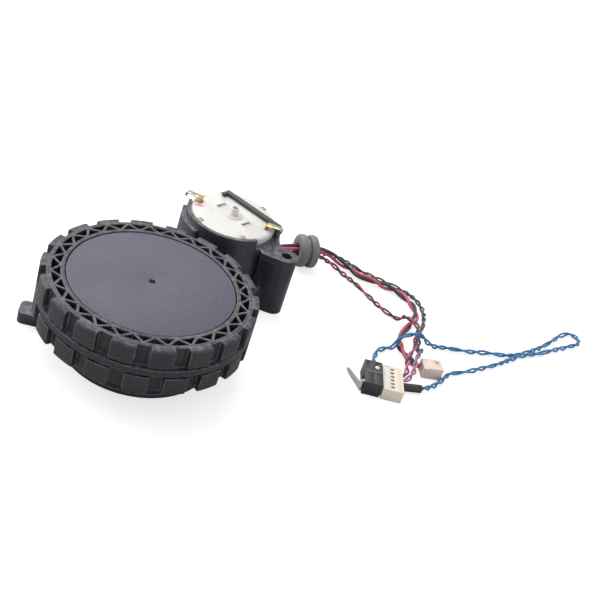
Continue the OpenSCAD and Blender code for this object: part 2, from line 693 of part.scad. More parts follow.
module switch_legs() {
    color([0.8, 0.8, 0.8]) for (y = [-5, 0, 5])
        translate([switch_p[0] + switch_h / 2, switch_p[1] + y - 0.5, switch_t / 2 - 0.2])
            cube([0.35, 1, 0.4]);
}

module plug_long() {
    w = (ways - 1) * pitch + 4;
    color([0.93, 0.88, 0.8]) translate([plug6_p[0] - plug_l / 2 + 0.6, plug6_p[1] - w / 2, 0]) difference() {
        cube([plug_l, w, plug_t]);
        for (i = [0:ways - 1]) {
            translate([plug_l - 4.5, 2 + i * pitch - 0.7, 1.2]) cube([6, 1.4, 2]);
            translate([1.6, 2 + i * pitch - 0.6, plug_t - 1]) cube([2.2, 1.2, 2]);
        }
    }
}

module plug_long_contacts() {
    w = (ways - 1) * pitch + 4;
    color([0.8, 0.75, 0.55]) for (i = [0:ways - 1])
        translate([plug6_p[0] + plug_l / 2 + 0.6 - 4.5, plug6_p[1] - w / 2 + 2 + i * pitch - 0.6, 1.2])
            cube([3.2, 1.2, 0.5]);
}

module plug_short() {
    w = pitch + 4;
    color([0.92, 0.86, 0.78]) translate([plug2_p[0] - plug_l / 2 + 0.6, plug2_p[1] - w / 2, 0]) rotate(8)
        difference() {
        cube([plug_l, w, plug_t]);
        for (i = [0:1]) translate([-1, 2 + i * pitch - 0.7, 1.4]) cube([6, 1.4, 2]);
        translate([plug_l - 2.6, 1, plug_t - 0.8]) cube([1.6, w - 2, 2]);
    }
}

module lead_sleeve() {
    color([0.06, 0.06, 0.07]) translate([98.6, 12.4, 1.5]) rotate(12) rotate([0, 90, 0]) difference() {
        translate([0, 0, -3.4]) cylinder(h = 6.8, r = 1.5, $fn = 32);
        translate([0, 0, -4]) cylinder(h = 9, r = lead_r, $fn = 32);
    }
}

gx = cos(grommet_turn);
gy = sin(grommet_turn);
function at_e(dx, dy, dz) = [exit_p[0] + dx, exit_p[1] + dy, exit_z + dz];
function at_g(s, o, z) = [grommet_p[0] + s * gx - o * gy, grommet_p[1] + s * gy + o * gx, z];

power_pts = [
    at_e(-1, -1, 1.1), at_e(4.3, 3.4, 1.2), at_g(-5.5, 0, 7.8), at_g(0, 0, 7.8), at_g(5.5, 0, 7.8),
    [67, 81.4, 5.4], [72, 83, 1.9], [76, 81, 1.6], [80, 77.6, 1.6], [85, 76.4, 1.6], [90, 75, 1.6], [95, 73.4, 1.6],
    [99, 70, 1.6], [102, 65, 1.6], [103, 60, 1.6], [101.4, 54.4, 1.6], [98.4, 48.8, 1.6], [96, 43.4, 1.6],
    [95, 37, 1.6], [97.4, 31, 1.6], [99.8, 27, 1.8], [101.6, 25.6, 2.3]];
lead_a_pts = [
    at_e(-0.22, -1.78, -1.4), at_e(5.6, 2.6, -1), at_g(-5.5, -1.3, 5.35), at_g(0, -1.3, 5.35), at_g(5.5, -1.3, 5.35),
    [68, 79.4, 2.4], [73, 76.6, 1.1], [78, 72, 1.1], [84, 64.6, 1.1], [90, 58, 1.1], [95, 54.4, 1.2],
    [97.6, 52.4, 4.2], [102, 47, 4.4], [101, 40, 3.4], [99.6, 32, 4.8], [97, 26, 4.6], [96.6, 21, 3.2],
    [96.2, 17.8, 2.8], [94.7, 16.9, 2.3]];
lead_b_pts = [
    at_e(-1.78, -0.22, -1.4), at_e(3.6, 4.8, -1), at_g(-5.5, 1.3, 5.35), at_g(0, 1.3, 5.35), at_g(5.5, 1.3, 5.35),
    [66, 85.2, 2.8], [73, 87, 1.1], [81, 82, 1.1], [88, 79.4, 1.1], [96, 76.6, 1.1], [103.4, 71.6, 1.1],
    [106.2, 65, 1.1], [106.4, 58, 1.1], [104.6, 50, 1.1], [103.4, 44, 1.1], [102.6, 36.6, 1.3],
    [102, 31, 5.2], [99.8, 25, 5.4], [98.4, 17.6, 4.6], [96.4, 14.4, 3.2], [94.7, 13.8, 2.4]];
blue_pts = [
    [83.4, 17.1, 3.2], [83.8, 20, 3.2], [84.8, 25, 2], [87, 31, 1.1], [92, 34.6, 1.1],
    [94.6, 36.4, 5.2], [101, 39.4, 6.4], [108, 41.6, 1.6],
    [116, 43.4, 1.1], [124, 44.6, 1.1], [132, 46.8, 1.1], [140, 48.4, 1.1], [148, 53, 1.1], [156, 60, 1.1],
    [164, 67.4, 1.1], [171, 74.6, 1.1], [174.6, 76.4, 1.1], [175, 73, 1.1], [169.6, 67, 1.1], [162, 60.6, 1.1],
    [154, 55, 1.1], [146, 50.4, 1.1], [138.4, 43.6, 1.1], [130, 37, 1.1], [122, 31.4, 1.1], [114, 26.6, 1.1],
    [111, 22, 1.1], [107, 17, 1.1], [102, 13.2, 1.5], [98.6, 12.4, 1.5], [94.5, 11.5, 1.8]];

module power_lead() {
    color([0.6, 0.08, 0.12]) tube(power_pts, power_r);
}

module sensor_lead_a() {
    color([0.45, 0.06, 0.08]) tube(lead_a_pts, lead_r);
}

module sensor_lead_b() {
    color([0.08, 0.08, 0.1]) tube(lead_b_pts, lead_r);
}

module switch_lead() {
    color([0.05, 0.25, 0.6]) tube(blue_pts, lead_r);
}

tyre();
wheel_hub();
hub_cover();
wheel_shaft();
hub_screw();
shaft_gear();
ball_bearing_outer();
ball_bearing_inner();
bearing_shield();
lower_bush();
gearbox_housing();
gearbox_base();
base_screws();
gear_pins();
gear_first();
gear_second();
gear_third();
motor_pinion();
motor_shaft();
motor_rotor();
motor_magnet();
motor_can();
motor_bush();
motor_cap();
motor_terminals();
motor_strap();
motor_screws();
sensor_board();
grommet();
snap_switch_base();
snap_switch_cover();
switch_button();
switch_pivot();
switch_lever();
switch_legs();
plug_long();
plug_long_contacts();
plug_short();
lead_sleeve();
power_lead();
sensor_lead_a();
sensor_lead_b();
switch_lead();
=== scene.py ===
"""A robot vacuum's drive wheel module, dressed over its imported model.

Sizes are in millimetres, as in the part's source, and become metres where a mesh is made.
"""

import logging
import math
from contextlib import contextmanager
from dataclasses import dataclass, field
from enum import Enum
from typing import Iterator, Optional, Sequence

import bpy
from mathutils import Matrix, Vector


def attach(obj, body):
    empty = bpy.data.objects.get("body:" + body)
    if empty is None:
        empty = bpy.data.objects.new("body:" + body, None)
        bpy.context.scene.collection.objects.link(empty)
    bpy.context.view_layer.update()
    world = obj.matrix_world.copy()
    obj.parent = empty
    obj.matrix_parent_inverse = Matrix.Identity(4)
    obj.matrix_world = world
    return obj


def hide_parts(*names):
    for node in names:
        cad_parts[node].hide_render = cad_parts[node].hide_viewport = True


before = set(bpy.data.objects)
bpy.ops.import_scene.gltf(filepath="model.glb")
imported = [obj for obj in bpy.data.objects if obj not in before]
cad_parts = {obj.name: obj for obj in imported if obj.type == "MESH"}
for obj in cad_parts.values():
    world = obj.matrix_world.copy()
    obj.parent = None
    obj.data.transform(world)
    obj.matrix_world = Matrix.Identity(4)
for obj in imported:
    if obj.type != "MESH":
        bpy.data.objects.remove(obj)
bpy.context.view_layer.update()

LOG = logging.getLogger("wheel_module")
Colour = tuple[float, float, float]
Flat = tuple[float, float]
Point = tuple[float, float, float]
Socket = bpy.types.NodeSocket
Thing = bpy.types.Object
MM = 0.001


class Body(str, Enum):
    """The moving bodies that pieces ride on."""

    HOUSING = "housing"
    WHEEL = "wheel"
    LEVER = "lever"
    BUTTON = "button"


class Axis(Enum):
    """The frame's axes, for turning a piece."""

    X = 1
    Y = 2
    Z = 3


def mm(x: float, y: float, z: float) -> Vector:
    """Gives a point in metres from one in millimetres."""
    return Vector((x, y, z)) * MM


def polar(radius: float, degrees: float, centre: Flat = (0.0, 0.0)) -> Flat:
    """Gives the flat point at a radius and an angle round a centre."""
    turn = math.radians(degrees)
    return (centre[0] + radius * math.cos(turn), centre[1] + radius * math.sin(turn))


class ShaderBench:
    """Adds, sets and links the nodes of one shader tree."""

    def __init__(self, tree: bpy.types.NodeTree) -> None:
        """Keeps the tree that the nodes go into."""
        self.tree = tree

    def node(self, kind: str, settings: Optional[dict] = None, **inputs: object) -> bpy.types.Node:
        """Adds one node.

        Args:
            kind: the node's type name.
            settings: its properties.
            inputs: values for its sockets, with underscores for spaces.

        Returns:
            The node.
        """
        made = self.tree.nodes.new(kind)
        for name, value in (settings or {}).items():
            setattr(made, name, value)
        for name, value in inputs.items():
            made.inputs[name.replace("_", " ")].default_value = value
        return made

    def link(self, source: Socket, target: Socket) -> None:
        """Links two sockets."""
        self.tree.links.new(source, target)

    def math(self, operation: str, first: object, second: object = 0.0) -> Socket:
        """Adds a Math node.

        Args:
            operation: the sum it does.
            first: a socket or a number.
            second: a socket or a number.

        Returns:
            The result's socket.
        """
        made = self.node("ShaderNodeMath", {"operation": operation})
        for slot, value in zip(made.inputs, (first, second)):
            if isinstance(value, Socket):
                self.link(value, slot)
            else:
                slot.default_value = value
        return made.outputs[0]

    def span(self, value: Socket, low: float, high: float, to_low: float = 0.0, to_high: float = 1.0) -> Socket:
        """Maps a value's range onto another, held at the ends.

        Args:
            value: the socket to map.
            low: start of its range.
            high: end of its range.
            to_low: what low becomes.
            to_high: what high becomes.

        Returns:
            The result's socket.
        """
        made = self.node("ShaderNodeMapRange", {"clamp": True})
        self.link(value, made.inputs["Value"])
        ends = (("From Min", low), ("From Max", high), ("To Min", to_low), ("To Max", to_high))
        for name, number in ends:
            made.inputs[name].default_value = number
        return made.outputs["Result"]

    def blend(self, mask: Socket, under: object, over: object, how: str = "MIX") -> Socket:
        """Mixes two colours by a mask.

        Args:
            mask: how much of the upper colour shows.
            under: the lower colour, a socket or three numbers.
            over: the upper colour, a socket or three numbers.
            how: the blend type.

        Returns:
            The mixed colour's socket.
        """
        made = self.node("ShaderNodeMix", {"data_type": "RGBA", "blend_type": how})
        self.link(mask, made.inputs[0])
        for slot, value in ((made.inputs[6], under), (made.inputs[7], over)):
            if isinstance(value, Socket):
                self.link(value, slot)
            else:
                slot.default_value = (*value, 1.0)
        return made.outputs[2]

    def effect(self, tree: bpy.types.NodeTree, where: Socket, **values: float) -> bpy.types.Node:
        """Places a shared effect and feeds it the place.

        Args:
            tree: the effect's group.
            where: the socket that gives the place.
            values: its own numbers.

        Returns:
            The group's node.
        """
        made = self.node("ShaderNodeGroup", {"node_tree": tree})
        self.link(where, made.inputs["Vector"])
        for name, value in values.items():
            made.inputs[name].default_value = value
        return made


class Effects:
    """The node groups that several finishes share, each built once."""

    made: dict[str, bpy.types.NodeTree] = {}

    @classmethod
    def start(cls, name: str, numbers: dict[str, float], results: Sequence[str]
              ) -> tuple[ShaderBench, bpy.types.Node, bpy.types.Node]:
        """Starts an empty group with a Vector input.

        Args:
            name: the group's name.
            numbers: its other inputs and their defaults.
            results: its outputs.

        Returns:
            Its bench, its input node and its output node.
        """
        tree = bpy.data.node_groups.new(name, "ShaderNodeTree")
        tree.interface.new_socket(name="Vector", in_out="INPUT", socket_type="NodeSocketVector")
        for label, value in numbers.items():
            made = tree.interface.new_socket(name=label, in_out="INPUT", socket_type="NodeSocketFloat")
            made.default_value = value
        for label in results:
            tree.interface.new_socket(name=label, in_out="OUTPUT", socket_type="NodeSocketFloat")
        cls.made[name] = tree
        bench = ShaderBench(tree)
        return bench, bench.node("NodeGroupInput"), bench.node("NodeGroupOutput")

    @classmethod
    def grain(cls) -> bpy.types.NodeTree:
        """Gives fine moulded grain: pebbles over a soft noise."""
        if "moulded_grain" not in cls.made:
            b, given, out = cls.start("moulded_grain", {"Scale": 4000.0}, ["Height", "Tone"])
            noise = b.node("ShaderNodeTexNoise", Detail=4.0, Roughness=0.6)
            cells = b.node("ShaderNodeTexVoronoi", {"feature": "SMOOTH_F1"}, Smoothness=0.6)
            for made in (noise, cells):
                b.link(given.outputs["Vector"], made.inputs["Vector"])
                b.link(given.outputs["Scale"], made.inputs["Scale"])
            soft = b.math("MULTIPLY", noise.outputs["Fac"], 0.6)
            pebble = b.math("MULTIPLY", cells.outputs["Distance"], 0.5)
            b.link(b.math("ADD", soft, pebble), out.inputs["Height"])
            b.link(noise.outputs["Fac"], out.inputs["Tone"])
        return cls.made["moulded_grain"]

    @classmethod
    def mottle(cls) -> bpy.types.NodeTree:
        """Gives a slow drift of tone over a surface."""
        if "mottled_tone" not in cls.made:
            b, given, out = cls.start("mottled_tone", {"Scale": 60.0}, ["Mask"])
            noise = b.node("ShaderNodeTexNoise", Detail=5.0, Roughness=0.65, Distortion=0.4)
            b.link(given.outputs["Vector"], noise.inputs["Vector"])
            b.link(given.outputs["Scale"], noise.inputs["Scale"])
            b.link(b.span(noise.outputs["Fac"], 0.32, 0.68), out.inputs["Mask"])
        return cls.made["mottled_tone"]

    @classmethod
    def wear_and_highlight(cls) -> bpy.types.NodeTree:
        """Gives rubbed edges and painted edge highlights, found where a rounded normal leaves the flat one."""
        if "rubbed_edges" not in cls.made:
            b, given, out = cls.start("rubbed_edges", {"Radius": 0.0004}, ["Mask"])
            rounded = b.node("ShaderNodeBevel", {"samples": 4})
            b.link(given.outputs["Radius"], rounded.inputs["Radius"])
            flat = b.node("ShaderNodeNewGeometry")
            match = b.node("ShaderNodeVectorMath", {"operation": "DOT_PRODUCT"})
            b.link(rounded.outputs["Normal"], match.inputs[0])
            b.link(flat.outputs["Normal"], match.inputs[1])
            edge = b.span(match.outputs["Value"], 0.998, 0.86)
            noise = b.node("ShaderNodeTexNoise", Scale=900.0, Detail=3.0)
            b.link(given.outputs["Vector"], noise.inputs["Vector"])
            b.link(b.math("MULTIPLY", edge, b.span(noise.outputs["Fac"], 0.3, 0.6)), out.inputs["Mask"])
        return cls.made["rubbed_edges"]

    @classmethod
    def dust(cls) -> bpy.types.NodeTree:
        """Gives dust that settles on faces that look up."""
        if "settled_dust" not in cls.made:
            b, given, out = cls.start("settled_dust", {"Scale": 500.0}, ["Mask"])
            face = b.node("ShaderNodeNewGeometry")
            split = b.node("ShaderNodeSeparateXYZ")
            b.link(face.outputs["Normal"], split.inputs[0])
            noise = b.node("ShaderNodeTexNoise", Detail=6.0, Roughness=0.7)
            b.link(given.outputs["Vector"], noise.inputs["Vector"])
            b.link(given.outputs["Scale"], noise.inputs["Scale"])
            upward = b.span(split.outputs["Z"], 0.2, 0.9)
            b.link(b.math("MULTIPLY", upward, b.span(noise.outputs["Fac"], 0.45, 0.8)), out.inputs["Mask"])
        return cls.made["settled_dust"]

    @classmethod
    def brushing(cls) -> bpy.types.NodeTree:
        """Gives fine lines along one direction, for drawn or plated metal."""
        if "brushed_lines" not in cls.made:
            b, given, out = cls.start("brushed_lines", {"Scale": 900.0}, ["Height", "Tone"])
            stretch = b.node("ShaderNodeMapping", Scale=(0.06, 0.06, 1.0))
            b.link(given.outputs["Vector"], stretch.inputs["Vector"])
            noise = b.node("ShaderNodeTexNoise", Detail=3.0)
            b.link(stretch.outputs["Vector"], noise.inputs["Vector"])
            b.link(given.outputs["Scale"], noise.inputs["Scale"])
            b.link(noise.outputs["Fac"], out.inputs["Height"])
            b.link(b.span(noise.outputs["Fac"], 0.3, 0.7), out.inputs["Tone"])
        return cls.made["brushed_lines"]

    @classmethod
    def spots(cls) -> bpy.types.NodeTree:
        """Gives small scattered specks, for grime on pale plastic."""
        if "scattered_specks" not in cls.made:
            b, given, out = cls.start("scattered_specks", {"Scale": 260.0, "Size": 0.16}, ["Mask"])
            cells = b.node("ShaderNodeTexVoronoi", Randomness=1.0)
            b.link(given.outputs["Vector"], cells.inputs["Vector"])
            b.link(given.outputs["Scale"], cells.inputs["Scale"])
            near = b.math("SUBTRACT", given.outputs["Size"], cells.outputs["Distance"])
            pick = b.node("ShaderNodeSeparateXYZ")
            b.link(cells.outputs["Color"], pick.inputs[0])
            chosen = b.math("GREATER_THAN", pick.outputs["X"], 0.72)
            b.link(b.math("MULTIPLY", b.span(near, 0.0, 0.06), chosen), out.inputs["Mask"])
        return cls.made["scattered_specks"]


@dataclass(frozen=True)
class Finish:
    """How one surface looks.

    Colours are linear. Scales are per metre and depths in metres.
    """

    name: str
    slot: str
    colour: Colour
    drift: Colour
    roughness: float = 0.5
    spread: float = 0.12
    grain: float = 5000.0
    depth: float = 0.00002
    mottle: float = 60.0
    # Edge mask: rubbed wear together with painted edge highlights.
    wear_and_highlight: float = 0.0
    wear_and_highlight_colour: Colour = (0.3, 0.3, 0.32)
    wear_and_highlight_radius: float = 0.0004
    dust: float = 0.0
    dust_colour: Colour = (0.35, 0.34, 0.33)
    specks: float = 0.0
    speck_colour: Colour = (0.35, 0.22, 0.16)
    speck_scale: float = 260.0
    metallic: float = 0.0
    brushed: bool = False
    specular: float = 0.5
    coat: float = 0.0
    soft: float = 0.0

    def material(self) -> bpy.types.Material:
        """Builds the material, or gives the one already built."""
        ready = bpy.data.materials.get(self.name)
        if ready:
            return ready
        made = bpy.data.materials.new(self.name)
        made.use_nodes = True
        b = ShaderBench(made.node_tree)
        skin = made.node_tree.nodes["Principled BSDF"]
        skin.inputs["Metallic"].default_value = self.metallic
        skin.inputs["Specular IOR Level"].default_value = self.specular
        skin.inputs["Coat Weight"].default_value = self.coat
        skin.inputs["Subsurface Weight"].default_value = self.soft
        skin.inputs["Subsurface Scale"].default_value = 0.001
        where = b.node("ShaderNodeTexCoord").outputs["Object"]
        colour, height, tone = self.surface(b, where)
        smoothest = max(0.05, self.roughness - self.spread)
        roughest = min(1.0, self.roughness + self.spread)
        b.link(colour, skin.inputs["Base Color"])
        b.link(b.span(tone, 0.3, 0.7, smoothest, roughest), skin.inputs["Roughness"])
        bump = b.node("ShaderNodeBump", Strength=1.0, Distance=self.depth)
        b.link(height, bump.inputs["Height"])
        b.link(bump.outputs["Normal"], skin.inputs["Normal"])
        return made

    def surface(self, b: ShaderBench, where: Socket) -> tuple[Socket, Socket, Socket]:
        """Lays colour, height and tone.

        Args:
            b: the bench of the material.
            where: the socket that gives the place.

        Returns:
            Sockets of colour, height and tone.
        """
        grain = b.effect(Effects.brushing() if self.brushed else Effects.grain(), where, Scale=self.grain)
        mottle = b.effect(Effects.mottle(), where, Scale=self.mottle)
        slow = b.math("MULTIPLY", mottle.outputs["Mask"], 0.6)
        tone = b.math("ADD", slow, b.math("MULTIPLY", grain.outputs["Tone"], 0.4))
        colour = b.blend(tone, self.colour, self.drift)
        if self.specks:
            specks = b.effect(Effects.spots(), where, Scale=self.speck_scale)
            colour = b.blend(b.math("MULTIPLY", specks.outputs["Mask"], self.specks), colour, self.speck_colour)
        if self.dust:
            dust = b.effect(Effects.dust(), where)
            colour = b.blend(b.math("MULTIPLY", dust.outputs["Mask"], self.dust), colour, self.dust_colour)
        # Lightens the edges: rubbed wear together with painted edge highlights.
        if self.wear_and_highlight:
            wear_and_highlight = b.effect(Effects.wear_and_highlight(), where, Radius=self.wear_and_highlight_radius)
            colour = b.blend(b.math("MULTIPLY", wear_and_highlight.outputs["Mask"], self.wear_and_highlight), colour, self.wear_and_highlight_colour)
        return colour, grain.outputs["Height"], tone


@dataclass(frozen=True)
class WireSkin(Finish):
    """Smooth insulation whose colour lies in the piece's own attribute."""

    def surface(self, b: ShaderBench, where: Socket) -> tuple[Socket, Socket, Socket]:
        """Lays the strand's own colour under the shared grain.

        Args:
            b: the bench of the material.
            where: the socket that gives the place.

        Returns:
            Sockets of colour, height and tone.
        """
        colour, height, tone = super().surface(b, where)
        strand = b.node("ShaderNodeAttribute", {"attribute_type": "GEOMETRY", "attribute_name": "strand_colour"})
        shade = b.blend(b.math("MULTIPLY", tone, 0.22), strand.outputs["Color"], self.drift)
        return shade, height, tone


# Its light edge colour paints highlights along the lug edges, together with rubbed wear.
TYRE_RUBBER = Finish(
    "tread_rubber", "tyre_rubber", (0.0135, 0.0132, 0.0178), (0.0245, 0.0238, 0.0315), 0.55, 0.14, 2600.0, 0.00006,
    wear_and_highlight=0.9, wear_and_highlight_colour=(0.28, 0.278, 0.32), wear_and_highlight_radius=0.0006, dust=0.8, dust_colour=(0.225, 0.22, 0.255),
    specks=0.5, speck_colour=(0.14, 0.14, 0.15), speck_scale=520.0)
# Its light edge colour paints the highlight along the disc's rim, together with some wear.
COVER_SATIN = Finish(
    "cover_satin", "cover_plastic", (0.104, 0.0993, 0.134), (0.124, 0.119, 0.16), 0.55, 0.08, 4200.0, 0.00003,
    mottle=45.0, dust=0.12, dust_colour=(0.3, 0.3, 0.33), wear_and_highlight=0.7, wear_and_highlight_colour=(0.45, 0.45, 0.495),
    wear_and_highlight_radius=0.0006, specular=0.25, specks=0.55, speck_colour=(0.3, 0.3, 0.33), speck_scale=620.0)
HUB_BLACK = Finish("hub_black", "hub_plastic", (0.018, 0.018, 0.021), (0.027, 0.027, 0.0315), 0.5)
HOUSING_BLACK = Finish(
    "housing_black", "housing_plastic", (0.021, 0.02, 0.029), (0.037, 0.0355, 0.05), 0.42, 0.09, 3200.0,
    0.00003, wear_and_highlight=0.95, wear_and_highlight_colour=(0.34, 0.335, 0.38), wear_and_highlight_radius=0.0006, dust=0.85,
    dust_colour=(0.3, 0.295, 0.34))
CAP_WHITE = Finish(
    "cap_white", "cap_plastic", (0.74, 0.728, 0.7), (0.76, 0.75, 0.726), 0.45, 0.08, 2600.0, 0.00001,
    mottle=90.0, specks=0.3, soft=0.04)
CAP_MARK = Finish("cap_marking", "cap_plastic", (0.86, 0.1803, 0.1665), (0.86, 0.3106, 0.2867), 0.5, 0.1, 3000.0, 0.00001)
# Pinkish grey painted on the low step round the boss as the boss's shadow.
CAP_STEP_SHADOW = Finish("cap_gate", "cap_plastic", (0.66, 0.55, 0.52), (0.76, 0.68, 0.65), 0.45, 0.1, 2600.0, 0.00001)
CRIMP_TAN = Finish(
    "crimp_tan", "can_steel", (0.255, 0.1875, 0.165), (0.42, 0.33, 0.3), 0.4, 0.1, 2600.0, 0.00001, metallic=0.6)
CAN_STEEL = Finish(
    "can_steel", "can_steel", (0.5, 0.51, 0.52), (0.38, 0.39, 0.4), 0.28, 0.08, 900.0, 0.000004, metallic=1.0,
    brushed=True)
STEEL = Finish(
    "bright_steel", "steel", (0.6, 0.6, 0.61), (0.48, 0.48, 0.49), 0.25, 0.1, 1200.0, 0.000004, metallic=1.0,
    brushed=True)
BRONZE = Finish(
    "sintered_bronze", "bronze", (0.5, 0.34, 0.14), (0.42, 0.28, 0.12), 0.4, 0.1, 6000.0, 0.00001, metallic=1.0)
BRASS = Finish(
    "turned_brass", "brass", (0.72, 0.52, 0.2), (0.62, 0.44, 0.17), 0.25, 0.1, 1500.0, 0.000004, metallic=1.0,
    brushed=True)
TINNED = Finish(
    "tinned_tags", "tinned_brass", (0.46, 0.44, 0.4), (0.3, 0.285, 0.26), 0.22, 0.1, 1500.0, 0.000006, metallic=1.0,
    brushed=True)
TAG_BRASS = Finish(
    "brass_tags", "tinned_brass", (0.66, 0.46, 0.2), (0.5, 0.33, 0.14), 0.3, 0.1, 1500.0, 0.000006, metallic=1.0,
    brushed=True)
COPPER = Finish(
    "wound_copper", "copper", (0.6, 0.27, 0.13), (0.48, 0.2, 0.09), 0.35, 0.1, 2500.0, 0.00004, metallic=1.0,
    brushed=True)
MAGNET = Finish("sintered_magnet", "magnet", (0.135, 0.135, 0.135), (0.18, 0.18, 0.18), 0.5, 0.1, 6000.0, 0.00002)
GEAR_WHITE = Finish(
    "gear_acetal", "gear_plastic", (0.86, 0.8477, 0.7617), (0.86, 0.8487, 0.7808), 0.38, 0.08, 2000.0, 0.000008, soft=0.05)
SHIELD = Finish("bearing_seal", "shield_rubber", (0.3, 0.15, 0.075), (0.375, 0.195, 0.105), 0.6)
STRAP_BLACK = Finish(
    "strap_black", "strap_plastic", (0.039, 0.039, 0.042), (0.06, 0.06, 0.0645), 0.4, 0.08, 4000.0, 0.00002,
    wear_and_highlight=0.5, wear_and_highlight_colour=(0.21, 0.21, 0.2175), wear_and_highlight_radius=0.0002)
BOARD_GREEN = Finish("board_green", "board", (0.045, 0.24, 0.105), (0.0675, 0.3, 0.135), 0.3)
# Its light edge colour paints the highlights on the rims' crowns, together with wear.
GROMMET_GREY = Finish(
    "grommet_grey", "grommet_rubber", (0.135, 0.132, 0.133), (0.21, 0.207, 0.208), 0.5, 0.1, 3500.0, 0.00002,
    wear_and_highlight=0.8, wear_and_highlight_colour=(0.55, 0.545, 0.54), wear_and_highlight_radius=0.0009, dust=0.4, dust_colour=(0.44, 0.44, 0.435))
SWITCH_BLACK = Finish(
    "switch_black", "switch_plastic", (0.018, 0.0173, 0.021), (0.036, 0.0345, 0.042), 0.42, 0.1, 3000.0, 0.00004,
    wear_and_highlight=0.6, wear_and_highlight_colour=(0.15, 0.15, 0.165), wear_and_highlight_radius=0.0002, dust=0.35, dust_colour=(0.12, 0.12, 0.1275))
# Pale grey painted as the highlight along the switch's step edge.
SWITCH_EDGE_HIGHLIGHT = Finish(
    "switch_flash", "switch_plastic", (0.24, 0.24, 0.255), (0.36, 0.36, 0.375), 0.4, 0.1, 3800.0, 0.00001)
BUTTON_DARK = Finish("button_dark", "button_plastic", (0.045, 0.042, 0.045), (0.0675, 0.063, 0.0675), 0.35)
SPRING_STEEL = Finish(
    "spring_strip", "spring_steel", (0.6, 0.6, 0.6), (0.4, 0.4, 0.405), 0.24, 0.08, 1800.0, 0.000004,
    metallic=1.0, brushed=True)
PLUG_CREAM = Finish(
    "plug_cream", "plug_plastic", (0.86, 0.7617, 0.6511), (0.86, 0.7695, 0.6676), 0.42, 0.08, 2600.0, 0.00001,
    mottle=240.0, soft=0.06, wear_and_highlight=0.3, wear_and_highlight_colour=(0.86, 0.7971, 0.7341), wear_and_highlight_radius=0.0002)
PLUG_PANEL = Finish(
    "plug_panel", "plug_plastic", (0.78, 0.75, 0.735), (0.86, 0.8313, 0.8027), 0.5, 0.08, 2600.0, 0.00001, mottle=240.0)
PLUG_TAN = Finish(
    "plug_key_strip", "plug_plastic", (0.86, 0.6737, 0.5733), (0.86, 0.7082, 0.6197), 0.45, 0.08, 2600.0, 0.00001,
    mottle=240.0)
PLUG_SAND = Finish(
    "plug_sand", "plug_plastic", (0.84, 0.66, 0.5325), (0.86, 0.7122, 0.6047), 0.42, 0.08, 2600.0, 0.00001,
    mottle=240.0, soft=0.05, wear_and_highlight=0.3, wear_and_highlight_colour=(0.86, 0.7718, 0.6836), wear_and_highlight_radius=0.0002)
PIN_PALE = Finish("pin_pale", "plug_plastic", (0.86, 0.86, 0.8354), (0.86, 0.86, 0.8374), 0.4, 0.08, 2600.0, 0.00001)
SLEEVE_BLACK = Finish(
    "shrink_sleeve", "sleeve", (0.0135, 0.0135, 0.015), (0.024, 0.024, 0.027), 0.35, 0.1, 3000.0, 0.00002)
POWER_SKIN = WireSkin(
    "power_insulation", "power_wire", (0.8, 0.06, 0.13), (0.3, 0.27, 0.285), 0.36, 0.08, 3000.0, 0.000006)
SENSOR_A_SKIN = WireSkin(
    "sensor_insulation_a", "sensor_wire_a", (0.6, 0.03, 0.075), (0.33, 0.27, 0.3), 0.36, 0.08, 3000.0, 0.000006)
SENSOR_B_SKIN = WireSkin(
    "sensor_insulation_b", "sensor_wire_b", (0.03, 0.03, 0.045), (0.3, 0.3, 0.33), 0.36, 0.08, 3000.0, 0.000006)
SWITCH_SKIN = WireSkin(
    "switch_insulation", "switch_wire", (0.03, 0.18, 0.6), (0.18, 0.3, 0.51), 0.34, 0.08, 3000.0, 0.000006)


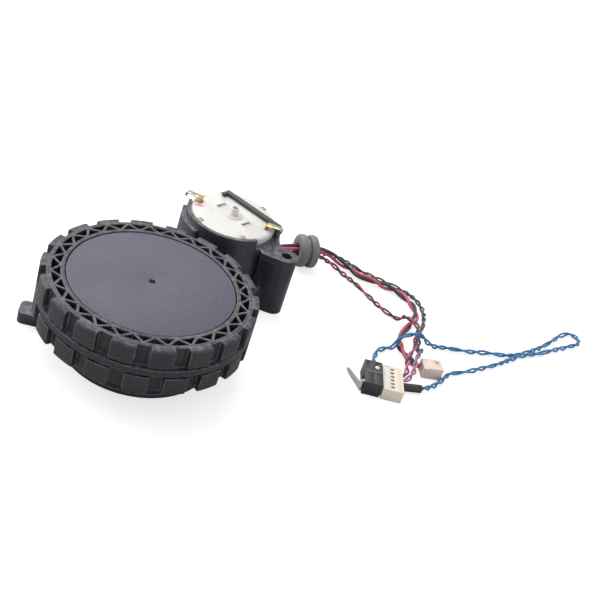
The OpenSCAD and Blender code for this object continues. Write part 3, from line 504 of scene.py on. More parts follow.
class Bench:
    """The modelling steps that the pieces share, all by operators."""

    @staticmethod
    def only(piece: Optional[Thing] = None) -> None:
        """Deselects everything, then selects one object if it is given."""
        bpy.ops.object.select_all(action="DESELECT")
        if piece is not None:
            piece.select_set(True)
            bpy.context.view_layer.objects.active = piece

    @staticmethod
    @contextmanager
    def editing(piece: Thing, mode: str = "FACE") -> Iterator[None]:
        """Opens edit mode on one object, with everything selected."""
        Bench.only(piece)
        bpy.ops.object.mode_set(mode="EDIT")
        bpy.ops.mesh.select_mode(type=mode)
        bpy.ops.mesh.select_all(action="SELECT")
        yield
        bpy.ops.object.mode_set(mode="OBJECT")

    @staticmethod
    def settle(piece: Thing, name: str) -> Thing:
        """Names the object and puts its place, turn and size into its mesh."""
        piece.name = name
        Bench.only(piece)
        bpy.ops.object.transform_apply(location=True, rotation=True, scale=True)
        return piece

    @staticmethod
    def block(name: str, low: Point, high: Point) -> Thing:
        """Adds a box between two corners."""
        Bench.only()
        near, far = mm(*low), mm(*high)
        bpy.ops.mesh.primitive_cube_add(size=1, location=(near + far) / 2, scale=tuple(far - near))
        return Bench.settle(bpy.context.object, name)

    @staticmethod
    def rod(name: str, radius: float, low: float, high: float, at: Flat, sides: int = 48) -> Thing:
        """Adds an upright round rod between two heights."""
        Bench.only()
        bpy.ops.mesh.primitive_cylinder_add(vertices=sides, radius=radius * MM, depth=(high - low) * MM,
                                            location=mm(at[0], at[1], (low + high) / 2))
        return Bench.settle(bpy.context.object, name)

    @staticmethod
    def outline(name: str, corners: Sequence[Point]) -> Thing:
        """Draws a closed line of edges by extruding one point.

        Args:
            name: the piece's name.
            corners: its corners in order.

        Returns:
            The object, with the line as its only geometry.
        """
        Bench.only()
        bpy.ops.mesh.primitive_plane_add(size=MM, location=mm(*corners[0]))
        piece = Bench.settle(bpy.context.object, name)
        with Bench.editing(piece, "VERT"):
            bpy.ops.mesh.merge(type="CENTER")
            for here, there in zip(corners, corners[1:]):
                step = mm(*there) - mm(*here)
                bpy.ops.mesh.extrude_region_move(TRANSFORM_OT_translate={"value": step})
            bpy.ops.mesh.select_all(action="SELECT")
            bpy.ops.mesh.remove_doubles(threshold=1e-7)
        return piece

    @staticmethod
    def revolve(name: str, profile: Sequence[Flat], at: Flat = (0.0, 0.0), steps: int = 128) -> Thing:
        """Spins a closed profile right round an upright axis.

        Args:
            name: the piece's name.
            profile: radius and height of each corner; it closes by itself.
            at: where the axis stands.
            steps: faces round the axis.

        Returns:
            The closed piece.
        """
        ring = [*profile, profile[0]]
        piece = Bench.outline(name, [(at[0] + r, at[1], z) for r, z in ring])
        with Bench.editing(piece, "VERT"):
            bpy.ops.mesh.spin(steps=steps, angle=math.tau, center=mm(at[0], at[1], 0.0), axis=(0, 0, 1))
            bpy.ops.mesh.select_all(action="SELECT")
            bpy.ops.mesh.remove_doubles(threshold=1e-6)
            bpy.ops.mesh.normals_make_consistent(inside=False)
        return piece

    @staticmethod
    def sweep(name: str, profile: Sequence[Flat], start: float, angle: float, steps: int = 6) -> Thing:
        """Spins a filled profile part of the way round the wheel's axis.

        Args:
            name: the piece's name.
            profile: radius and height of each corner; it closes by itself.
            start: where it begins, in degrees.
            angle: how far it goes.
            steps: faces along the way.

        Returns:
            The closed piece.
        """
        ring = [*profile, profile[0]]
        corners = [(*polar(r, start), z) for r, z in ring]
        piece = Bench.outline(name, corners)
        with Bench.editing(piece, "VERT"):
            bpy.ops.mesh.edge_face_add()
            bpy.ops.mesh.spin(steps=steps, angle=-math.radians(angle), center=(0, 0, 0), axis=(0, 0, 1))
            bpy.ops.mesh.select_all(action="SELECT")
            bpy.ops.mesh.normals_make_consistent(inside=False)
        return piece

    @staticmethod
    def slab(name: str, corners: Sequence[Point], step: Point) -> Thing:
        """Fills a closed flat line and extrudes it.

        Args:
            name: the piece's name.
            corners: the line's corners in order; it closes by itself.
            step: how far and which way it is extruded.

        Returns:
            The closed piece.
        """
        piece = Bench.outline(name, [*corners, corners[0]])
        with Bench.editing(piece, "VERT"):
            bpy.ops.mesh.edge_face_add()
            bpy.ops.mesh.extrude_region_move(TRANSFORM_OT_translate={"value": mm(*step)})
            bpy.ops.mesh.select_all(action="SELECT")
            bpy.ops.mesh.normals_make_consistent(inside=False)
        return piece

    @staticmethod
    def prism(name: str, corners: Sequence[Flat], low: float, high: float) -> Thing:
        """Extrudes a flat outline upwards from one height to another."""
        return Bench.slab(name, [(x, y, low) for x, y in corners], (0.0, 0.0, high - low))

    @staticmethod
    def apply(piece: Thing, kind: str, **settings: object) -> Thing:
        """Adds one modifier and applies it."""
        Bench.only(piece)
        added = piece.modifiers.new(kind.lower(), kind)
        for name, value in settings.items():
            setattr(added, name, value)
        bpy.ops.object.modifier_apply(modifier=added.name)
        return piece

    @staticmethod
    def soften(piece: Thing, width: float, segments: int = 2, angle: float = 40.0) -> Thing:
        """Rounds the sharp edges by a width."""
        return Bench.apply(piece, "BEVEL", width=width * MM, segments=segments, limit_method="ANGLE",
                           angle_limit=math.radians(angle), miter_outer="MITER_ARC")

    @staticmethod
    def cut(piece: Thing, tools: Sequence[Thing], how: str = "DIFFERENCE") -> Thing:
        """Cuts or joins with other solids, which are used up."""
        for tool in tools:
            Bench.apply(piece, "BOOLEAN", object=tool, operation=how, solver="EXACT")
            bpy.data.objects.remove(tool)
        return piece

    @staticmethod
    def turn(piece: Thing, degrees: float, centre: Vector, axis: Axis = Axis.Z) -> Thing:
        """Turns the mesh about a point, by the right-hand rule."""
        with Bench.editing(piece, "VERT"):
            bpy.ops.transform.rotate(value=-math.radians(degrees), orient_axis=axis.name,
                                     orient_type="GLOBAL", center_override=centre)
        return piece

    @staticmethod
    def shift(piece: Thing, step: Vector) -> Thing:
        """Moves the mesh by a step."""
        with Bench.editing(piece, "VERT"):
            bpy.ops.transform.translate(value=step)
        return piece

    @staticmethod
    def twin(piece: Thing, name: str) -> Thing:
        """Copies a piece with a mesh of its own."""
        copy = piece.copy()
        copy.data = piece.data.copy()
        copy.name = name
        bpy.context.scene.collection.objects.link(copy)
        return copy

    @staticmethod
    def ring(piece: Thing, count: int, centre: Flat = (0.0, 0.0)) -> list[Thing]:
        """Spreads copies of a piece evenly round an upright axis.

        Args:
            piece: the first of them.
            count: how many there are in all.
            centre: where the axis stands.

        Returns:
            All the pieces, the first one included.
        """
        copies = [piece]
        for i in range(1, count):
            copies.append(Bench.turn(Bench.twin(piece, piece.name), i * 360 / count, mm(*centre, 0)))
        return copies

    @staticmethod
    def join(name: str, pieces: Sequence[Thing]) -> Thing:
        """Joins several pieces into one object."""
        Bench.only(pieces[0])
        for piece in pieces:
            piece.select_set(True)
        bpy.ops.object.join()
        made = bpy.context.object
        made.name = name
        return made

    @staticmethod
    def smooth(piece: Thing, angle: float = 35.0) -> Thing:
        """Shades it smooth, with creases kept over an angle."""
        Bench.only(piece)
        bpy.ops.object.shade_smooth_by_angle(angle=math.radians(angle))
        return piece

    @staticmethod
    def node_copy(node: str, name: str) -> Thing:
        """Copies a node's solid as a merged mesh with clean flat faces.

        Args:
            node: the node's name.
            name: the copy's name.

        Returns:
            The copy, free of its parent.
        """
        copy = bpy.data.objects.new(name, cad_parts[node].data.copy())
        copy.data.materials.clear()
        bpy.context.scene.collection.objects.link(copy)
        with Bench.editing(copy, "VERT"):
            bpy.ops.mesh.remove_doubles(threshold=1e-6)
            bpy.ops.mesh.dissolve_degenerate(threshold=1e-6)
            bpy.ops.mesh.select_all(action="SELECT")
            bpy.ops.mesh.dissolve_limited(angle_limit=math.radians(0.6))
            bpy.ops.mesh.select_all(action="SELECT")
            bpy.ops.mesh.vert_connect_concave()
        return copy


def dress(piece: Thing, finish: "Finish", body: Body, replaces: Sequence[str] = ()) -> Thing:
    """Gives a finished piece its material, its body and the nodes it stands for.

    Args:
        piece: the piece.
        finish: how it looks.
        body: the body that it rides on.
        replaces: the nodes that it hides.

    Returns:
        The piece.
    """
    piece.data.materials.clear()
    piece.data.materials.append(finish.material())
    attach(piece, body.value)
    if replaces:
        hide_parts(*replaces)
    LOG.info("%s: %s on %s, %d faces", piece.name, finish.name, body.value, len(piece.data.polygons))
    return piece


def paint(finishes: dict[str, "Finish"]) -> None:
    """Gives nodes that stay their finish.

    Args:
        finishes: node name to finish.
    """
    for node, finish in finishes.items():
        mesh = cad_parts[node].data
        mesh.materials.clear()
        mesh.materials.append(finish.material())
        LOG.info("%s: %s", node, finish.name)


@dataclass
class Viewpoint:
    """The camera at the photograph's angle."""

    place: Point = (0.0, -0.2961, 0.23143)
    right: Point = (0.96059, 0.02905, 0.27646)
    up: Point = (-0.24412, 0.56383, 0.78899)
    ahead: Point = (0.13296, 0.82538, -0.54870)
    lens: float = 66.0

    def build(self) -> Thing:
        """Adds the camera and makes it the scene's own."""
        data = bpy.data.cameras.new("photo_camera")
        data.lens = self.lens
        data.sensor_width = 36.0
        data.clip_start = 0.01
        made = bpy.data.objects.new("photo_camera", data)
        bpy.context.scene.collection.objects.link(made)
        columns = (Vector(self.right), Vector(self.up), -Vector(self.ahead))
        turn = Matrix([[columns[c][r] for c in range(3)] for r in range(3)]).to_4x4()
        made.matrix_world = Matrix.Translation(Vector(self.place)) @ turn
        bpy.context.scene.camera = made
        return made


@dataclass
class TwistedPair:
    """Two insulated wires twisted loosely round one line."""

    name: str
    node: str
    finish: Finish
    route: Sequence[Point]
    wire_r: float
    spread: float
    pitch: float
    tones: tuple[Colour, Colour]
    tails: Optional[tuple[Colour, Colour]] = None
    tail_length: float = 22.0
    phase: float = 0.0
    sway: float = 0.15
    still: Flat = (0.0, 0.0)
    sides: int = 12
    line: list[Vector] = field(default_factory=list)
    run: list[float] = field(default_factory=list)

    @staticmethod
    def arc(points: Sequence[Vector]) -> list[Vector]:
        """Draws the smooth stretch between the middle two of four points.

        Args:
            points: four points in a row.

        Returns:
            Close points from the second one up to the third.
        """
        a, b, c, d = points
        t1 = (b - a).length ** 0.5
        t2 = t1 + (c - b).length ** 0.5
        t3 = t2 + (d - c).length ** 0.5
        count = max(8, int((c - b).length / 0.2))
        made = []
        for i in range(count):
            t = t1 + (t2 - t1) * i / count
            ab = a.lerp(b, t / t1)
            bc = b.lerp(c, (t - t1) / (t2 - t1))
            cd = c.lerp(d, (t - t2) / (t3 - t2))
            abc = ab.lerp(bc, t / t2)
            bcd = bc.lerp(cd, (t - t1) / (t3 - t1))
            made.append(abc.lerp(bcd, (t - t1) / (t2 - t1)))
        return made

    def centreline(self, step: float = 0.5) -> list[Vector]:
        """Draws a smooth line through the route's points.

        Args:
            step: distance between its points, in millimetres.

        Returns:
            The points, in metres.
        """
        pts = [Vector(p) for p in self.route]
        pts = [2 * pts[0] - pts[1], *pts, 2 * pts[-1] - pts[-2]]
        dense = [p for four in zip(pts, pts[1:], pts[2:], pts[3:]) for p in self.arc(four)]
        dense.append(pts[-2])
        even, carried = [dense[0]], 0.0
        for a, b in zip(dense, dense[1:]):
            reach = (b - a).length
            while carried + reach >= step:
                a = a + (b - a).normalized() * (step - carried)
                even.append(a)
                reach = (b - a).length
                carried = 0.0
            carried += reach
        even[-1] = dense[-1]
        lowest = self.wire_r + self.spread + 0.02
        return [Vector((p.x, p.y, max(p.z, lowest))) * MM for p in even]

    def frames(self) -> list[tuple[Vector, Vector, Vector, Vector]]:
        """Carries a pair of side directions along the line.

        Returns:
            Place, heading and two side directions at each point.
        """
        last = len(self.line) - 1
        heading = (self.line[1] - self.line[0]).normalized()
        side = heading.cross(Vector((0, 0, 1))).normalized()
        made = []
        for i, place in enumerate(self.line):
            heading = (self.line[min(i + 1, last)] - self.line[max(i - 1, 0)]).normalized()
            side = (side - heading * side.dot(heading)).normalized()
            made.append((place, heading, side, heading.cross(side)))
        return made

    def tone(self, strand: int, left: float) -> Colour:
        """Gives a strand's colour, which may change near its end.

        Args:
            strand: which of the two.
            left: length from here to the end, in metres.

        Returns:
            The colour.
        """
        plain = self.tones[strand]
        if not self.tails:
            return plain
        mix = min(1.0, max(0.0, 2.2 - 2.2 * left / (self.tail_length * MM)))
        return tuple(a + (b - a) * mix for a, b in zip(plain, self.tails[strand]))

    def wound(self, run: float) -> float:
        """Gives the length over which the pair has twisted so far, which is uneven.

        Args:
            run: the length from the start, in metres.

        Returns:
            The twisted length, in metres.
        """
        start, end = (x * MM for x in self.still)
        paused = min(max(run - start, 0.0), end - start)
        uneven = 0.0017 * math.sin(run * 150 + self.phase) + 0.0008 * math.sin(run * 410)
        return run - paused + uneven

    def strand(self, index: int, frames: Sequence[tuple]) -> tuple[list[Vector], list[tuple]]:
        """Winds one wire round the line.

        Args:
            index: which of the two.
            frames: the line's places and directions.

        Returns:
            Its rings of points and their colours.
        """
        points, colours = [], []
        turn = math.tau / (self.pitch * MM)
        for run, (place, heading, u, v) in zip(self.run, frames):
            angle = self.phase + turn * self.wound(run) + math.pi * index
            spread = self.spread * (1 - self.sway * (1 + math.sin(run * 260 + index))) * MM
            out = u * math.cos(angle) + v * math.sin(angle)
            lead = (heading + heading.cross(out) * turn * spread).normalized()
            across = (out - lead * out.dot(lead)).normalized()
            other = lead.cross(across)
            centre = place + out * spread
            shade = (*self.tone(index, self.run[-1] - run), 1.0)
            for k in range(self.sides):
                round_it = math.tau * k / self.sides
                ray = across * math.cos(round_it) + other * math.sin(round_it)
                points.append(centre + ray * self.wire_r * MM)
                colours.append(shade)
        return points, colours

    def faces(self, base: int) -> list[tuple[int, ...]]:
        """Joins one wire's rings and closes its ends.

        Args:
            base: the number of its first point.

        Returns:
            The faces.
        """
        n, rows = self.sides, len(self.line)
        made: list[tuple[int, ...]] = []
        for i in range(rows - 1):
            row = base + i * n
            made.extend((row + k, row + (k + 1) % n, row + (k + 1) % n + n, row + k + n) for k in range(n))
        made.append(tuple(base + k for k in reversed(range(n))))
        made.append(tuple(base + (rows - 1) * n + k for k in range(n)))
        return made

    def build(self) -> Thing:
        """Makes the pair as one mesh."""
        self.line = self.centreline()
        self.run = [0.0]
        for a, b in zip(self.line, self.line[1:]):
            self.run.append(self.run[-1] + (b - a).length)
        points, faces, colours = [], [], []
        for index in (0, 1):
            faces += self.faces(len(points))
            ring_points, ring_colours = self.strand(index, self.frames())
            points += ring_points
            colours += ring_colours
        mesh = bpy.data.meshes.new(self.name)
        mesh.from_pydata(points, [], faces)
        mesh.update()
        layer = mesh.color_attributes.new("strand_colour", "FLOAT_COLOR", "POINT")
        layer.data.foreach_set("color", [part for row in colours for part in row])
        piece = bpy.data.objects.new(self.name, mesh)
        bpy.context.scene.collection.objects.link(piece)
        with Bench.editing(piece):
            bpy.ops.mesh.normals_make_consistent(inside=False)
        dress(Bench.smooth(piece, 60), self.finish, Body.HOUSING, [self.node])
        LOG.info("%s: %.0f mm long", self.name, self.run[-1] / MM)
        return piece

    def declare(self, with_pieces: Sequence[Thing]) -> None:
        """Does nothing; the pair is not declared as a free cord.

        Args:
            with_pieces: not used.
        """


@dataclass
class Harness:
    """The four twisted leads, on the routes that the solids take."""

    motor: Flat = (22.7028, 55.6038)
    exit_r: float = 18.4
    exit_z: float = 5.2
    grommet: Flat = (55.8, 77.5)
    grommet_turn: float = 16.0
    black: Colour = (0.008, 0.008, 0.011)
    red: Colour = (0.42, 0.035, 0.08)
    rose: Colour = (0.6, 0.07, 0.135)
    slate: Colour = (0.0607, 0.0837, 0.1148)
    blue: Colour = (0.032, 0.2, 0.44)
    pink: Colour = (0.675, 0.135, 0.2565)
    lilac: Colour = (0.297, 0.2295, 0.459)
    violet: Colour = (0.1755, 0.0675, 0.162)
    pairs: list[TwistedPair] = field(default_factory=list)

    def at_exit(self, dx: float, dy: float, dz: float) -> Point:
        """Gives a point near the hole that the leads come out of."""
        x, y = polar(self.exit_r, 45, self.motor)
        return (x + dx, y + dy, self.exit_z + dz)

    def at_grommet(self, along: float, across: float, height: float) -> Point:
        """Gives a point in or near the grommet."""
        c, s = math.cos(math.radians(self.grommet_turn)), math.sin(math.radians(self.grommet_turn))
        return (self.grommet[0] + along * c - across * s, self.grommet[1] + along * s + across * c, height)

    def power(self) -> TwistedPair:
        """Gives the thick pair from the motor to the short plug."""
        e, g = self.at_exit, self.at_grommet
        route = [
            e(-1, -1, 1.1), e(4.3, 3.4, 1.2), g(-5.5, 0, 7.8), g(0, 0, 7.8), g(5.5, 0, 7.8),
            (67, 81.4, 5.4), (72, 83, 1.9), (76, 81, 1.6), (80, 77.6, 1.6), (85, 76.4, 1.6), (90, 75, 1.6),
            (95, 73.4, 1.6), (99, 70, 1.6), (102, 65, 1.6), (103, 60, 1.6), (101.4, 54.4, 1.6), (98.4, 48.8, 1.6),
            (96, 43.4, 1.6), (95, 37, 1.6), (97.4, 31, 1.6), (99.8, 27, 1.8), (101.6, 25.6, 2.3)]
        return TwistedPair("power_pair", "power_lead", POWER_SKIN, route, 0.68, 0.8, 19.0,
                           (self.black, self.rose), phase=1.94, still=(6.0, 42.0))

    def sensor_a(self) -> TwistedPair:
        """Gives the red and black pair from the board to the long plug."""
        e, g = self.at_exit, self.at_grommet
        route = [
            e(-0.22, -1.78, -1.4), e(5.6, 2.6, -1), g(-5.5, -1.3, 5.35), g(0, -1.3, 5.35), g(5.5, -1.3, 5.35),
            (68, 79.4, 2.4), (73, 76.6, 1.1), (78, 72, 1.1), (84, 64.6, 1.1), (90, 58, 1.1), (95, 54.4, 1.2),
            (97.6, 52.4, 4.2), (102, 47, 4.4), (101, 40, 3.4), (99.6, 32, 4.8), (97, 26, 4.6), (96.6, 21, 3.2),
            (96.2, 17.8, 2.8), (94.7, 16.9, 2.3)]
        return TwistedPair("sensor_pair_a", "sensor_lead_a", SENSOR_A_SKIN, route, 0.43, 0.62, 9.5,
                           (self.red, self.black), (self.pink, self.violet), phase=1.0)

    def sensor_b(self) -> TwistedPair:
        """Gives the black and slate pair from the board to the long plug."""
        e, g = self.at_exit, self.at_grommet
        route = [
            e(-1.78, -0.22, -1.4), e(3.6, 4.8, -1), g(-5.5, 1.3, 5.35), g(0, 1.3, 5.35), g(5.5, 1.3, 5.35),
            (66, 85.2, 2.8), (73, 87, 1.1), (81, 82, 1.1), (88, 79.4, 1.1), (96, 76.6, 1.1), (103.4, 71.6, 1.1),
            (106.2, 65, 1.1), (106.4, 58, 1.1), (104.6, 50, 1.1), (103.4, 44, 1.1), (102.6, 36.6, 1.3),
            (102, 31, 5.2), (99.8, 25, 5.4), (98.4, 17.6, 4.6), (96.4, 14.4, 3.2), (94.7, 13.8, 2.4)]
        return TwistedPair("sensor_pair_b", "sensor_lead_b", SENSOR_B_SKIN, route, 0.43, 0.62, 9.5,
                           (self.black, self.slate), (self.lilac, self.pink))

    def switch(self) -> TwistedPair:
        """Gives the blue pair from the snap switch to the long plug."""
        route = [
            (83.4, 17.1, 3.2), (83.8, 20, 3.2), (84.8, 25, 2), (87, 31, 1.1), (92, 34.6, 1.1), (94.6, 36.4, 5.2),
            (101, 39.4, 6.4), (108, 41.6, 1.6), (116, 43.4, 1.1), (124, 44.6, 1.1), (132, 46.8, 1.1),
            (140, 48.4, 1.1), (148, 53, 1.1), (156, 60, 1.1), (162.8, 67.6, 1.1), (167.6, 73, 1.1),
            (171.4, 75.2, 1.1), (174.4, 73.4, 1.1), (174, 69.6, 1.1), (169, 65.6, 1.1), (162, 60.6, 1.1), (154, 55, 1.1),
            (146, 50.4, 1.1), (138.4, 43.6, 1.1), (130, 37, 1.1), (122, 31.4, 1.1), (114, 26.6, 1.1),
            (111, 22, 1.1), (107, 17, 1.1), (102, 13.2, 1.5), (98.6, 12.4, 1.5), (94.5, 11.5, 1.8)]
        return TwistedPair("switch_pair", "switch_lead", SWITCH_SKIN, route, 0.43, 0.62, 10.5,
                           (self.blue, self.blue))

    def build(self) -> None:
        """Makes the leads."""
        self.pairs = [self.power(), self.sensor_a(), self.sensor_b(), self.switch()]
        for pair in self.pairs:
            pair.build()

    def declare(self) -> None:
        plug = ("long_body", "plug_side_panel", "plug_key_strip", "plug_window_floors", "plug_long_contacts")
        switch = ("switch_cover", "switch_base", "locating_pin", "seam_line", "switch_lever_strip", "switch_button",
                  "switch_pivot", "switch_legs", "lead_sleeve")
        lying = (("short_body", "cable_grommet"), plug, ("plug_long_contacts",), switch)
        for pair, names in zip(self.pairs, lying):
            pair.declare([bpy.data.objects[name] for name in names])


@dataclass
class Wheel:
    """Tyre, hub and cover disc."""

    tyre_r: float = 36.0
    carcass_r: float = 33.9
    rim_r: float = 28.2
    low: float = 10.05
    top: float = 27.75
    rib_w: float = 2.4
    lug_w: float = 6.8
    lug_count: int = 18
    lug_angle: float = 12.4
    lug_turn: float = 4.0
    lattice_in: float = 29.5
    lattice_out: float = 32.4
    lattice_count: int = 27
    strut_t: float = 0.86
    cover_r: float = 27.8
    cover_low: float = 26.0
    cover_top: float = 27.6
    hole_r: float = 1.15

    def band(self) -> Thing:
        """Makes the tyre's outer band with its middle rib."""
        middle = (self.low + self.top) / 2
        near, far = middle - self.rib_w / 2, middle + self.rib_w / 2
        r, out = self.carcass_r, self.tyre_r
        return Bench.revolve("tyre_band", [
            (self.lattice_out, self.low + 0.15), (r - 0.7, self.low), (r - 0.15, self.low + 0.2),
            (r, self.low + 0.7), (r, near - 0.25), (r + 0.12, near - 0.06), (r + 0.35, near),
            (out - 0.35, near), (out - 0.1, near + 0.08), (out, near + 0.35), (out, far - 0.35),
            (out - 0.1, far - 0.08), (out - 0.35, far), (r + 0.35, far), (r + 0.12, far + 0.06),
            (r, far + 0.25), (r, self.top - 0.5), (r - 0.12, self.top - 0.14), (r - 0.45, self.top),
            (self.lattice_out + 0.2, self.top), (self.lattice_out, self.top - 0.2)], steps=216)

    def sleeve(self) -> Thing:
        """Makes the tyre's inner band, which grips the rim."""
        return Bench.revolve("tyre_sleeve", [
            (self.rim_r, self.low), (self.lattice_in, self.low), (self.lattice_in, self.top - 0.2),
            (self.lattice_in - 0.2, self.top), (self.rim_r + 0.2, self.top), (self.rim_r, self.top - 0.2)], steps=216)

    def strut(self, side: int) -> Thing:
        """Makes one slanting strut of the lattice.

        Args:
            side: 1 for the one that leans one way, -1 for the other.

        Returns:
            The piece, from the inner band to the outer one.
        """
        period = 360 / self.lattice_count
        start = Vector((*polar(self.lattice_in - 0.25, 0.0), 0.0))
        end = Vector((*polar(self.lattice_out + 0.25, side * period / 2), 0.0))
        along = (end - start).normalized()
        across = Vector((-along.y, along.x, 0.0)) * self.strut_t / 2
        corners = [start - across, end - across, end + across, start + across]
        piece = Bench.prism("lattice_strut", [(p.x, p.y) for p in corners], self.low + 0.2, self.top - 0.05)
        return Bench.soften(piece, 0.14, 1)

    def lug(self, upper: bool) -> Thing:
        """Makes one tread block.

        Args:
            upper: whether it belongs to the row beside the cover.

        Returns:
            The piece.
        """
        inner, outer = self.carcass_r - 0.5, self.tyre_r
        low, high = (self.top - self.lug_w, self.top - 0.05) if upper else (self.low + 0.05, self.low + self.lug_w)
        nip_low, nip_high = (0.0, 0.6) if upper else (0.6, 0.0)
        profile = [(inner, low), (outer - nip_low, low), (outer, low + nip_low), (outer, high - nip_high),
                   (outer - nip_high, high), (inner, high)]
        profile = [p for i, p in enumerate(profile) if p not in profile[:i]]
        centre = self.lug_turn if upper else self.lug_turn + 180 / self.lug_count
        piece = Bench.sweep("tread_lug", profile, centre - self.lug_angle / 2, self.lug_angle)
        return Bench.soften(piece, 0.2, 2, 25)

    def tyre(self) -> Thing:
        """Makes the tyre: two bands, the lattice between them and the two rows of lugs."""
        parts = [self.band(), self.sleeve()]
        for side in (1, -1):
            parts += Bench.ring(self.strut(side), self.lattice_count)
        for upper in (True, False):
            parts += Bench.ring(self.lug(upper), self.lug_count)
        return Bench.join("lugged_tyre", parts)

    def disc(self) -> Thing:
        """Makes the cover disc with its small middle hole."""
        r, top = self.cover_r, self.cover_top
        return Bench.revolve("cover_disc", [
            (self.hole_r, self.cover_low), (r, self.cover_low), (r, top - 0.32), (r - 0.08, top - 0.12),
            (r - 0.3, top), (self.hole_r + 0.35, top), (self.hole_r + 0.1, top - 0.08), (self.hole_r, top - 0.3)],
            steps=216)

    def build(self) -> None:
        """Makes the wheel's outer pieces and paints the rest."""
        dress(Bench.smooth(self.tyre(), 30), TYRE_RUBBER, Body.WHEEL, ["tyre"])
        dress(Bench.smooth(self.disc()), COVER_SATIN, Body.WHEEL, ["hub_cover"])
        hub = Bench.node_copy("wheel_hub", "ribbed_hub")
        dress(Bench.smooth(hub), HUB_BLACK, Body.WHEEL, ["wheel_hub"])
        paint({"wheel_shaft": STEEL, "hub_screw": STEEL, "shaft_gear": GEAR_WHITE, "ball_bearing_inner": STEEL,
               "ball_bearing_outer": STEEL, "bearing_shield": SHIELD, "lower_bush": BRONZE})


@dataclass
class Housing:
    """Gearbox, cradle, post and ear."""

    shell_edge: float = 0.25
    floor_edge: float = 0.2

    def build(self) -> None:
        """Makes the housing's pieces and paints the rest."""
        shell = Bench.soften(Bench.node_copy("gearbox_housing", "gearbox_shell"), self.shell_edge)
        dress(Bench.smooth(shell, 32), HOUSING_BLACK, Body.HOUSING, ["gearbox_housing"])
        floor = Bench.soften(Bench.node_copy("gearbox_base", "gearbox_floor"), self.floor_edge)
        dress(Bench.smooth(floor, 32), HOUSING_BLACK, Body.HOUSING, ["gearbox_base"])
        paint({"base_screws": STEEL, "gear_pins": STEEL, "gear_first": GEAR_WHITE, "gear_second": GEAR_WHITE,
               "gear_third": GEAR_WHITE, "sensor_board": BOARD_GREEN})


